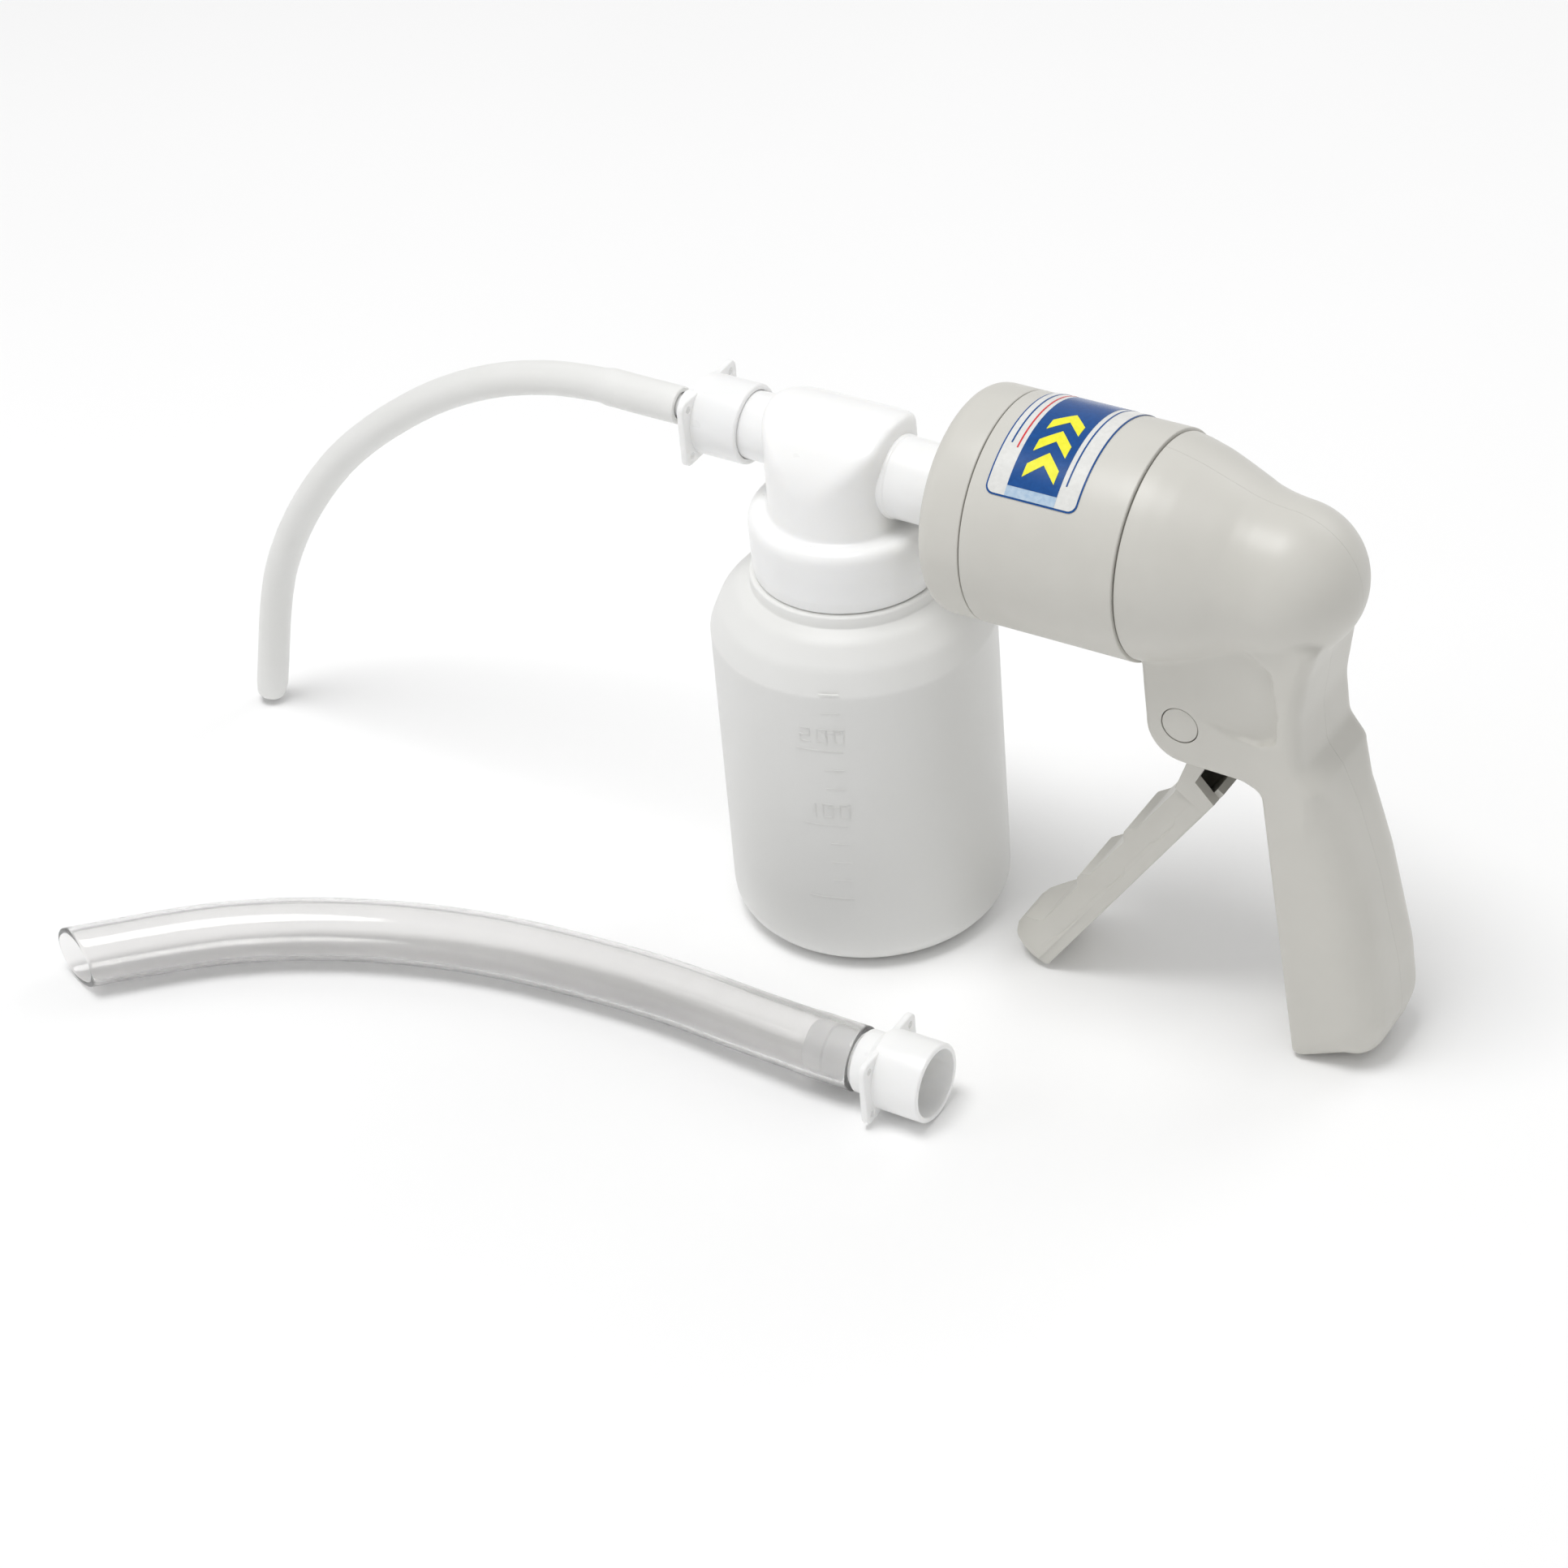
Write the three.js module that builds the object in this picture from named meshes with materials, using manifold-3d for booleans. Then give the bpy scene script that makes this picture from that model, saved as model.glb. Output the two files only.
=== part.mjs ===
// Hand-operated medical suction pump with its canister, two catheters and connectors.
// Millimetres, +Z up. The origin is the centre of the bottle's base, on the surface it stands on.
// +X runs along the pump barrel from the canister towards the grip.
import * as THREE from "three";
import { mergeVertices } from "three/addons/utils/BufferGeometryUtils.js";
import Module from "manifold-3d";

const wasm = await Module();
wasm.setup();

// ---- Driving dimensions -------------------------------------------------------------------
const SMALLEST_DETAIL = 0.02; // slivers finer than this are merged away
const GAP = 0.3; // clearance kept between neighbouring pieces
const AXIS_Z = 131; // height of the pump barrel's axis, which the lid's pump port shares
const TAPER_Z = 135.1; // height of the lid's patient taper

const BOTTLE_R = 36;
const BOTTLE_WALL = 1.5;
const BOTTLE_BASE_FILLET = 9;
const SHOULDER_Z = 84;
const SHOULDER_R = 24.5;
const NECK_R = 21.4;
const NECK_BORE_R = 19.4;
const NECK_TOP_Z = 114;

const CAP_R = 24.2;
const CAP_BOTTOM_Z = 101.8;
const CAP_TOP_Z = 118.9;
const TURRET_R = 19;
const TURRET_FACE_X = 16.3;
const TURRET_CROWN = 15.5;
const TURRET_CROWN_Z = 129;
const TAPER_R = 8.5;
const TAPER_END_X = -35.5;
const PORT_R = 10.3;
const PORT_END_X = 46.7;

const SLEEVE_R = 10.2;
const SLEEVE_BORE_R = 8.9;
const SLEEVE_LENGTH = 12.6;
const SLEEVE_MOUTH_X = -24.4;
const FLANGE_THICKNESS = 1.8;
const FLANGE_HALF_WIDTH = 12.7;
const FLANGE_HALF_HEIGHT = 9.3;

const BARREL_R = 28.5;
const BARREL_BORE_R = 25.6;
const FRONT_X = 36;
const SEAM_1_X = 48.3;
const SEAM_2_X = 89.1;

const PISTON_R = 25.1;
const PISTON_X = 82;
const PISTON_THICKNESS = 6;
const VALVE_LIFT = 1.2; // how far each valve disc travels

const PIVOT_X = 99.2;
const PIVOT_Z = 92;
const PIVOT_PIN_R = 3;
const DRIVE_OFFSET = 13.6; // drive pin's distance behind the pivot at rest
const DRIVE_PIN_R = 2;
const DRIVE_X = PIVOT_X + DRIVE_OFFSET;
const ARM_REST_ANGLE = Math.atan2(DRIVE_OFFSET, AXIS_Z - PIVOT_Z);

const LEVER_ANGLE = THREE.MathUtils.degToRad(54);
const LEVER_X = 60.8;
const LEVER_Z = 23.7;
const LEVER_DEPTH = 10.6;
const LEVER_TOP = 67;
const NOSE_DEPTH = 14;
const NOSE_TOP = 58;
const FIRST_BUMP = 8.7;
const FINGER_PITCH = 23.2;
const TRIGGER_HALF_WIDTH = 11.5;
const TRIGGER_CHANNEL_HALF_WIDTH = 8.5;

const HANDLE_HALF_WIDTH = 15.5;
const SHELL_WALL = 2.5;
const PARTING_GAP = 0.15; // each housing half stops this far from the middle plane

const SMALL_CATHETER_R = 4.4;
const SMALL_CATHETER_BORE_R = 3.5;
const LARGE_CATHETER_R = 8.2;
const LARGE_CATHETER_BORE_R = 6.9;
const LARGE_CONNECTOR_MOUTH = [60.5, -73, SLEEVE_R];

// ---- Colours ------------------------------------------------------------------------------
const WARM_GREY = { color: 0xcfcec9, roughness: 0.5, metalness: 0 };
const WHITE = { color: 0xf2f2f0, roughness: 0.35, metalness: 0 };
const MILKY = { color: 0xdcdedb, roughness: 0.4, metalness: 0 };
const CLEAR = { color: 0xe6e4e2, roughness: 0.15, metalness: 0 };
const SILICONE = { color: 0xd9d4c8, roughness: 0.6, metalness: 0 };
const RUBBER = { color: 0x2b2b2b, roughness: 0.8, metalness: 0 };
const STEEL = { color: 0xb8babd, roughness: 0.3, metalness: 1 };
const ACETAL = { color: 0xe8e6df, roughness: 0.4, metalness: 0 };
const BLUE_LABEL = { color: 0x1c4f9c, roughness: 0.3, metalness: 0 };

const root = new THREE.Group();

// ---- Solids: geometry in, boolean, geometry out -------------------------------------------
function merged(geometry) {
  const plain = geometry.clone();
  plain.deleteAttribute("normal");
  plain.deleteAttribute("uv");
  return mergeVertices(plain, 1e-4);
}

// A closed geometry as a solid, with its faces turned outwards.
function solid(geometry) {
  const g = merged(geometry);
  const vertProperties = new Float32Array(g.attributes.position.array);
  const triVerts = new Uint32Array(g.index.array);
  const made = new wasm.Manifold(new wasm.Mesh({ numProp: 3, vertProperties, triVerts }));
  if (made.volume() > 0) return made;
  for (let i = 0; i < triVerts.length; i += 3) {
    [triVerts[i + 1], triVerts[i + 2]] = [triVerts[i + 2], triVerts[i + 1]];
  }
  return new wasm.Manifold(new wasm.Mesh({ numProp: 3, vertProperties, triVerts }));
}

function union(solids) {
  return solids.reduce((whole, piece) => whole.add(piece));
}

function addNode(name, body, look) {
  const mesh = body.simplify(SMALLEST_DETAIL).getMesh();
  const geometry = new THREE.BufferGeometry();
  geometry.setAttribute("position", new THREE.BufferAttribute(mesh.vertProperties, 3));
  geometry.setIndex(new THREE.BufferAttribute(mesh.triVerts, 1));
  geometry.computeVertexNormals();
  const node = new THREE.Mesh(geometry, new THREE.MeshStandardMaterial(look));
  node.name = name;
  root.add(node);
  return node;
}

// ---- Shape helpers ------------------------------------------------------------------------
const vectors = (points) => points.map(([a, b]) => new THREE.Vector2(a, b));

// Points along a circular arc, from one angle to another in degrees.
function arc(cx, cy, r, fromDeg, toDeg, steps) {
  return Array.from({ length: steps + 1 }, (_, i) => {
    const a = THREE.MathUtils.degToRad(fromDeg + ((toDeg - fromDeg) * i) / steps);
    return [cx + r * Math.cos(a), cy + r * Math.sin(a)];
  });
}

// A solid turned about the Z axis from [radius, z] points.
function turnedZ(profile, segments = 32) {
  return solid(new THREE.LatheGeometry(vectors(profile), segments).rotateX(Math.PI / 2));
}

// A solid turned about the barrel axis from [radius, x] points.
function turnedX(profile, segments = 32) {
  const g = new THREE.LatheGeometry(vectors(profile), segments).rotateZ(-Math.PI / 2);
  return solid(g.translate(0, 0, AXIS_Z));
}

// A ring about the barrel axis.
function ringX(innerR, outerR, x0, x1, segments = 28) {
  return turnedX([[innerR, x0], [outerR, x0], [outerR, x1], [innerR, x1], [innerR, x0]], segments);
}

function rodX(r, x0, x1, y = 0, z = AXIS_Z, segments = 20) {
  const g = new THREE.CylinderGeometry(r, r, x1 - x0, segments).rotateZ(-Math.PI / 2);
  return solid(g.translate((x0 + x1) / 2, y, z));
}

function rodY(r, y0, y1, x, z, segments = 20) {
  const g = new THREE.CylinderGeometry(r, r, y1 - y0, segments);
  return solid(g.translate(x, (y0 + y1) / 2, z));
}

function rodZ(r, z0, z1, x = 0, y = 0, segments = 24) {
  const g = new THREE.CylinderGeometry(r, r, z1 - z0, segments).rotateX(Math.PI / 2);
  return solid(g.translate(x, y, (z0 + z1) / 2));
}

function box(low, high) {
  const size = high.map((value, i) => value - low[i]);
  const middle = high.map((value, i) => (value + low[i]) / 2);
  return solid(new THREE.BoxGeometry(...size).translate(...middle));
}

// An [x, z] outline given a thickness along Y, with optional rounded edges.
function slabGeometry(outline, y0, y1, edge = 0) {
  const shape = Array.isArray(outline) ? new THREE.Shape(vectors(outline)) : outline;
  const g = new THREE.ExtrudeGeometry(shape, {
    depth: y1 - y0 - 2 * edge,
    bevelEnabled: edge > 0,
    bevelThickness: edge,
    bevelSize: edge,
    bevelOffset: -edge,
    bevelSegments: 3,
    curveSegments: 6,
  });
  return g.rotateX(Math.PI / 2).translate(0, y1 - edge, 0);
}

const slab = (outline, y0, y1, edge = 0) => solid(slabGeometry(outline, y0, y1, edge));

// A round tube along a smooth curve through the given points.
function tubeAlong(points, outerR, innerR, steps, sides) {
  const curve = new THREE.CatmullRomCurve3(points.map((p) => new THREE.Vector3(...p)), false, "centripetal");
  const ring = (r) => vectors(arc(0, 0, r, 0, 360 - 360 / sides, sides - 1));
  const section = new THREE.Shape(ring(outerR));
  if (innerR > 0) section.holes.push(new THREE.Path(ring(innerR).reverse()));
  return solid(new THREE.ExtrudeGeometry(section, { steps, extrudePath: curve, bevelEnabled: false }));
}

// ---- Canister: bottle, gasket, lid with its tee, inlet spout ------------------------------
function bottle() {
  const fillet = BOTTLE_BASE_FILLET;
  const centreR = BOTTLE_R - fillet;
  return turnedZ([
    [0, 0],
    ...arc(centreR, fillet, fillet, -90, 0, 5),
    [BOTTLE_R, SHOULDER_Z],
    ...arc(0, 0, 1, 15, 75, 4).map(([c, s]) => [SHOULDER_R + 11.5 * c, SHOULDER_Z + 14 * s]),
    [25, 101.2],
    [NECK_R, 101.2],
    [NECK_R, NECK_TOP_Z],
    [NECK_BORE_R, NECK_TOP_Z],
    [NECK_BORE_R, 97],
    ...arc(0, 0, 1, 75, 0, 4).map(([c, s]) => [SHOULDER_R + 10 * c, SHOULDER_Z + 12.4 * s]),
    ...arc(centreR, fillet, fillet - BOTTLE_WALL, 0, -90, 5),
    [0, BOTTLE_WALL],
  ]);
}

const lidGasket = () =>
  turnedZ([[17.5, 114.3], [NECK_R, 114.3], [NECK_R, 115.7], [17.5, 115.7], [17.5, 114.3]], 32);

const SPOUT_X = -9;
const SPOUT_R = 5.4;

function lidTurret() {
  const column = rodZ(TURRET_R, CAP_TOP_Z - 1, TURRET_CROWN_Z + TURRET_CROWN, 0, 0, 36);
  const crown = new THREE.CylinderGeometry(1, 1, 50, 36).rotateZ(-Math.PI / 2);
  crown.scale(1, TURRET_R, TURRET_CROWN).translate(0, 0, TURRET_CROWN_Z);
  const below = box([-25, -25, 110], [25, 25, TURRET_CROWN_Z]);
  const face = box([-25, -25, 100], [TURRET_FACE_X, 25, 160]);
  return column.intersect(solid(crown).add(below)).intersect(face);
}

function canisterLid() {
  const cap = turnedZ([
    [0, CAP_BOTTOM_Z],
    [CAP_R, CAP_BOTTOM_Z],
    ...arc(CAP_R - 2.7, CAP_TOP_Z - 2.7, 2.7, 0, 90, 3),
    [0, CAP_TOP_Z],
  ]);
  const taper = rodX(TAPER_R, TAPER_END_X, 0, 0, TAPER_Z, 28);
  const port = rodX(PORT_R, 0, PORT_END_X, 0, AXIS_Z, 32);
  const outside = union([cap, lidTurret(), taper, port]);
  const inside = union([
    rodZ(NECK_R + 0.6, CAP_BOTTOM_Z - 1, 116, 0, 0, 36),
    rodX(6.4, TAPER_END_X - 1, SPOUT_X + 3, 0, TAPER_Z),
    rodX(8, 9, PORT_END_X + 1),
    rodZ(4.4, 110, TAPER_Z, SPOUT_X),
    rodZ(SPOUT_R + GAP, 110, 120, SPOUT_X),
    rodZ(4.4, 110, AXIS_Z, 10),
  ]);
  return outside.subtract(inside);
}

const inletSpout = () => rodZ(SPOUT_R, 92, 119.7, SPOUT_X, 0, 20).subtract(rodZ(4.2, 90, 122, SPOUT_X, 0, 20));

// ---- Connectors and catheters -------------------------------------------------------------
// Sleeve, four-hole flange plate and barb, with the sleeve's mouth at x = 0, facing +X.
function connector(barbR, boreR, neckR, barbLength) {
  const flangeX = -SLEEVE_LENGTH - FLANGE_THICKNESS;
  const turned = new THREE.LatheGeometry(vectors([
    [SLEEVE_BORE_R, 0],
    [SLEEVE_R - 0.6, 0],
    [SLEEVE_R, -0.8],
    [SLEEVE_R, flangeX],
    [neckR, flangeX - 1.5],
    [neckR, flangeX - 5.5],
    [barbR, flangeX - 6],
    [barbR, flangeX - barbLength],
    [boreR, flangeX - barbLength],
    [boreR, -SLEEVE_LENGTH],
    [SLEEVE_BORE_R, -SLEEVE_LENGTH + 0.8],
    [SLEEVE_BORE_R, 0],
  ]), 24).rotateZ(-Math.PI / 2);
  const plate = new THREE.Shape();
  const corners = [[1, 1], [-1, 1], [-1, -1], [1, -1]];
  const w = FLANGE_HALF_WIDTH;
  const h = FLANGE_HALF_HEIGHT;
  plate.moveTo(w, h - 2);
  plate.quadraticCurveTo(w, h, w - 2, h);
  plate.lineTo(2 - w, h);
  plate.quadraticCurveTo(-w, h, -w, h - 2);
  plate.lineTo(-w, 2 - h);
  plate.quadraticCurveTo(-w, -h, 2 - w, -h);
  plate.lineTo(w - 2, -h);
  plate.quadraticCurveTo(w, -h, w, 2 - h);
  for (const [sy, sz] of corners) {
    plate.holes.push(new THREE.Path(vectors(arc(sy * (w - 2.6), sz * (h - 2.6), 0.9, 0, 300, 5))));
  }
  const flange = new THREE.ExtrudeGeometry(plate, { depth: FLANGE_THICKNESS, bevelEnabled: false, curveSegments: 3 });
  flange.rotateX(Math.PI / 2).rotateZ(Math.PI / 2).translate(flangeX, 0, 0);
  const through = new THREE.CylinderGeometry(SLEEVE_R - 0.5, SLEEVE_R - 0.5, 4, 24).rotateZ(-Math.PI / 2);
  through.translate(flangeX + 1, 0, 0);
  return solid(turned).add(solid(flange).subtract(solid(through)));
}

const SMALL_ROUTE = [
  [-45.7, 0, TAPER_Z],
  [-58, 0, TAPER_Z],
  [-69, 0, TAPER_Z],
  [-86, 0, 133],
  [-106, 0, 126.6],
  [-129, 0, 113.8],
  [-159.5, 0, 87.4],
  [-183.5, 0, 50],
  [-196, 0, 2.2],
];

const LARGE_ROUTE = [
  [39.5, -73, 10.2],
  [32, -73, 10.2],
  [25, -73, 10.2],
  [8, -71.8, 9.4],
  [-24, -69.9, 8.4],
  [-71.5, -74.4, 8.4],
  [-107.5, -85.1, 8.4],
  [-136, -100.5, 8.4],
  [-170, -130, 8.4],
];

// The large catheter's tip is cut off at a slant.
function largeCatheter() {
  const tube = tubeAlong(LARGE_ROUTE, LARGE_CATHETER_R, LARGE_CATHETER_BORE_R, 26, 12);
  const cutter = new THREE.BoxGeometry(60, 30, 30).translate(-30, 0, 0);
  cutter.rotateZ(THREE.MathUtils.degToRad(68)).translate(-164, -128, 8);
  return tube.subtract(solid(cutter));
}

// ---- Pump front end: cap, port seal, inlet valve, O-ring, barrel, label -------------------
const VALVE_PLATE_X = 49;
const VALVE_PLATE_END_X = 51.5;

function frontCap() {
  const turned = turnedX([
    [PORT_R + GAP, FRONT_X],
    ...arc(BARREL_R - 4.5, FRONT_X + 4.5, 4.5, -90, 0, 4),
    [BARREL_R, SEAM_1_X],
    [25.2, SEAM_1_X],
    [25.2, 50.3],
    [23.6, 50.3],
    [23.6, 52.5],
    [25.2, 52.5],
    [25.2, 54],
    [22.2, 54],
    [22.2, 42.5],
    [15, 42.5],
    [15, VALVE_PLATE_END_X],
    [1.8, VALVE_PLATE_END_X],
    [1.8, VALVE_PLATE_X],
    [8.6, VALVE_PLATE_X],
    [8.6, PORT_END_X + GAP],
    [PORT_R + GAP, PORT_END_X + GAP],
    [PORT_R + GAP, 44],
    [12.3, 44],
    [12.3, 41.4],
    [PORT_R + GAP, 41.4],
    [PORT_R + GAP, FRONT_X],
  ]);
  return turned.subtract(circleOfHoles(6, 5.2, 1.5, 47, 53));
}

// Holes parallel to the barrel axis, equally spaced on a circle.
function circleOfHoles(count, circleR, holeR, x0, x1) {
  const holes = Array.from({ length: count }, (_, i) => {
    const a = (2 * Math.PI * i) / count;
    return rodX(holeR, x0, x1, circleR * Math.cos(a), AXIS_Z + circleR * Math.sin(a), 8);
  });
  return union(holes);
}

// A rivet through the valve plate, whose head stops the disc.
function inletRetainer() {
  const headX = VALVE_PLATE_END_X + 0.9 + VALVE_LIFT + 2 * GAP;
  return rodX(1.4, VALVE_PLATE_X, headX + 0.4, 0, AXIS_Z, 14).add(rodX(3.6, headX, headX + 1.3, 0, AXIS_Z, 18));
}

const barrel = () => ringX(BARREL_BORE_R, BARREL_R, SEAM_1_X + GAP, SEAM_2_X - GAP, 40);

// The label is a thin curved panel on the barrel, high on the near side.
const LABEL_X = [52.8, 76.8];
const LABEL_DEG = [39.5, 141]; // measured up from the horizontal on the near side
function label() {
  const [a, b] = LABEL_DEG.map((deg) => THREE.MathUtils.degToRad(deg));
  const inner = BARREL_R + 0.2;
  const outer = BARREL_R + 0.4;
  const section = [[inner, LABEL_X[0]], [outer, LABEL_X[0]], [outer, LABEL_X[1]], [inner, LABEL_X[1]], [inner, LABEL_X[0]]];
  const ring = turnedX(section, 60);
  const far = 60;
  const wedge = new THREE.Shape();
  wedge.moveTo(0, 0);
  for (let i = 0; i <= 6; i += 1) {
    const t = a + ((b - a) * i) / 6;
    wedge.lineTo(-far * Math.cos(t), far * Math.sin(t));
  }
  const g = new THREE.ExtrudeGeometry(wedge, { depth: 60, bevelEnabled: false });
  g.rotateX(Math.PI / 2).rotateZ(Math.PI / 2).translate(45, 0, AXIS_Z);
  return ring.intersect(solid(g));
}

// ---- Piston group -------------------------------------------------------------------------
const PISTON_END_X = PISTON_X + PISTON_THICKNESS;

function piston() {
  const turned = turnedX([
    [3.3, PISTON_X],
    [PISTON_R, PISTON_X],
    [PISTON_R, PISTON_X + 1.5],
    [22.8, PISTON_X + 1.5],
    [22.8, PISTON_X + 4.5],
    [PISTON_R, PISTON_X + 4.5],
    [PISTON_R, PISTON_END_X],
    [3.3, PISTON_END_X],
    [3.3, PISTON_X],
  ]);
  return turned.subtract(circleOfHoles(6, 10, 2, PISTON_X - 1, PISTON_END_X + 1));
}

const ROD_EYE_HALF_WIDTH = 5;
function pistonRod() {
  const shaft = rodX(3, PISTON_X + GAP, DRIVE_X - 4);
  const shoulder = rodX(4.4, PISTON_END_X + GAP, PISTON_END_X + 2.3);
  const eye = rodY(6, -ROD_EYE_HALF_WIDTH, ROD_EYE_HALF_WIDTH, DRIVE_X, AXIS_Z, 24);
  const hole = rodY(DRIVE_PIN_R + GAP, -8, 8, DRIVE_X, AXIS_Z, 16);
  return union([shaft, shoulder, eye]).subtract(hole);
}

const EXHAUST_X = PISTON_END_X + GAP;
const exhaustDisc = () => ringX(5, 14, EXHAUST_X, EXHAUST_X + 0.9);
const exhaustStop = () => ringX(3.3, 9, EXHAUST_X + 0.9 + VALVE_LIFT + GAP, EXHAUST_X + 1.9 + VALVE_LIFT + GAP, 24);

function returnSpring() {
  const x0 = 44;
  const x1 = PISTON_X - 1.4;
  const turns = 5;
  const helixR = 18.6;
  const steps = turns * 12;
  const points = Array.from({ length: steps + 1 }, (_, i) => {
    const a = (2 * Math.PI * turns * i) / steps;
    return [x0 + ((x1 - x0) * i) / steps, helixR * Math.cos(a), AXIS_Z + helixR * Math.sin(a)];
  });
  return tubeAlong(points, 1, 0, steps, 5);
}

// ---- Trigger ------------------------------------------------------------------------------
// The lever's own frame: u runs up the lever and v towards the fingers.
function leverOutline() {
  const shape = new THREE.Shape();
  shape.moveTo(-20.2, -LEVER_DEPTH);
  shape.lineTo(-23.4, 2.4);
  shape.quadraticCurveTo(-22, 4.2, -19, 4.2);
  shape.quadraticCurveTo(-15, 1.2, -11.5, -0.8);
  for (let i = 0; i < 2; i += 1) {
    const u = FIRST_BUMP + i * FINGER_PITCH;
    shape.lineTo(u - 3, -0.8);
    shape.quadraticCurveTo(u - 1.4, 0.7, u, 0.7);
    shape.quadraticCurveTo(u + 1.4, 0.7, u + 3, -0.8);
  }
  shape.lineTo(54, -0.8);
  shape.lineTo(64, 1.5);
  shape.lineTo(76, 4);
  shape.lineTo(84, -4);
  shape.lineTo(72, -6);
  shape.lineTo(LEVER_TOP, -LEVER_DEPTH);
  return shape;
}

// A geometry in the lever's frame, as a solid in its place on the pump.
const onLever = (geometry) => solid(geometry.rotateY(-LEVER_ANGLE).translate(LEVER_X, 0, LEVER_Z));
const leverSlab = (outline, halfWidth) => onLever(slabGeometry(outline, -halfWidth, halfWidth));

// The lever's nose is half an ellipse in section, up to the shoulder that carries the arms.
function leverNose() {
  const nose = new THREE.CylinderGeometry(1, 1, 130, 28).rotateZ(-Math.PI / 2);
  nose.scale(1, TRIGGER_HALF_WIDTH, NOSE_DEPTH).translate(30, 0, 4.2 - NOSE_DEPTH);
  const back = new THREE.BoxGeometry(130, 2 * TRIGGER_HALF_WIDTH, 20).translate(30, 0, -5.8 - NOSE_DEPTH);
  const shoulder = new THREE.BoxGeometry(40, 2 * TRIGGER_HALF_WIDTH, 60).translate(NOSE_TOP + 20, 0, 0);
  return union([nose, back, shoulder].map(onLever));
}

const cheeks = (make) => union([make(-TRIGGER_HALF_WIDTH, -TRIGGER_CHANNEL_HALF_WIDTH), make(TRIGGER_CHANNEL_HALF_WIDTH, TRIGGER_HALF_WIDTH)]);

function trigger() {
  const backWall = 2 - LEVER_DEPTH;
  const hollow = [[-17, backWall], [-16.2, -3.2], [66, -2.9], [69, -1.5], [95, 20], [95, -40], [64, -40], [64, backWall]];
  const lever = leverSlab(leverOutline(), TRIGGER_HALF_WIDTH)
    .intersect(leverNose())
    .subtract(leverSlab(hollow, TRIGGER_CHANNEL_HALF_WIDTH));
  const hub = cheeks((y0, y1) => rodY(6.2, y0, y1, PIVOT_X, PIVOT_Z, 20));
  const arm = cheeks((y0, y1) => {
    const outline = [[-6, 0], [6, 0], [3.6, 9], [3.6, 34], [5, 38], [5, 47], [-5, 47], [-5, 38], [-3.6, 34], [-3.6, 9]];
    return solid(slabGeometry(outline, y0, y1).rotateY(ARM_REST_ANGLE).translate(PIVOT_X, 0, PIVOT_Z));
  });
  const slotOutline = [[-2.7, 37], [2.7, 37], [2.7, 45], [-2.7, 45]];
  const slot = solid(slabGeometry(slotOutline, -20, 20).rotateY(ARM_REST_ANGLE).translate(PIVOT_X, 0, PIVOT_Z));
  const bore = rodY(PIVOT_PIN_R + 1.3, -20, 20, PIVOT_X, PIVOT_Z);
  return union([lever, hub, arm]).subtract(slot).subtract(bore);
}

function bush(y0, y1) {
  return rodY(PIVOT_PIN_R + 1, y0, y1, PIVOT_X, PIVOT_Z).subtract(rodY(PIVOT_PIN_R + GAP, -20, 20, PIVOT_X, PIVOT_Z));
}

// ---- Rear housing, in two halves ----------------------------------------------------------
const BULB_X = 120.5;
const BULB_R = 19;
const dome = [
  [27.8, SEAM_2_X],
  [27.3, 92.5],
  [25.9, 98],
  [24.1, 103],
  [22.2, 108],
  [20.6, 112],
  [19.6, 116],
  [BULB_R, BULB_X],
  ...arc(0, BULB_X, BULB_R, 15, 75, 4),
  [0, BULB_X + BULB_R],
];

const handleOutline = [
  [89.6, 118],
  [89.6, 92],
  ...arc(99.6, 90.3, 10, 190, 270, 4),
  [115, 79.5],
  [119.5, 77.6],
  [127.3, 0],
  [143.3, 4],
  [146.3, 7],
  [147.2, 13],
  [146.6, 25],
  [144.2, 40],
  [140.6, 55],
  [136.4, 70],
  [132.6, 80],
  [129.6, 86],
  [128.6, 92],
  [128.9, 100],
  [130.6, 110],
  [133, 119],
  [126, 131],
  [100, 131],
];

const gripHollow = [
  [130, 3.4],
  [140.5, 6],
  [143.8, 13],
  [142.5, 32],
  [137.5, 55],
  [132.6, 70],
  [128, 81],
  [125.4, 90],
  [121, 90],
  [121.4, 83],
  [122.4, 77],
];
const lugHollow = [
  [88, 128],
  [88, 101.5],
  [91.8, 101.5],
  [91.8, 91],
  [95.6, 83.8],
  [95.6, 70],
  [119, 70],
  [119, 80],
  [122.6, 84],
  [125.9, 88],
  [125.9, 128],
];

const SCREWS = [[136.5, 17], [131.5, 52], [121.5, 104], [128.5, 133]];

function housingShell() {
  const outside = turnedX([[0, SEAM_2_X], ...dome], 36)
    .add(slab(handleOutline, -HANDLE_HALF_WIDTH, HANDLE_HALF_WIDTH, 3));
  const innerDome = dome.slice(0, 8).map(([r, x]) => [r - SHELL_WALL, x]);
  innerDome[0] = [25.3, SEAM_2_X - 1];
  const hollow = union([
    turnedX([[0, SEAM_2_X - 1], ...innerDome, [15.3, 126], [11.3, 132], [5, 136], [0, 136.8]], 24),
    slab(gripHollow, SHELL_WALL - HANDLE_HALF_WIDTH, HANDLE_HALF_WIDTH - SHELL_WALL),
    slab(lugHollow, SHELL_WALL - HANDLE_HALF_WIDTH, HANDLE_HALF_WIDTH - SHELL_WALL),
  ]);
  return outside.subtract(hollow);
}

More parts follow.
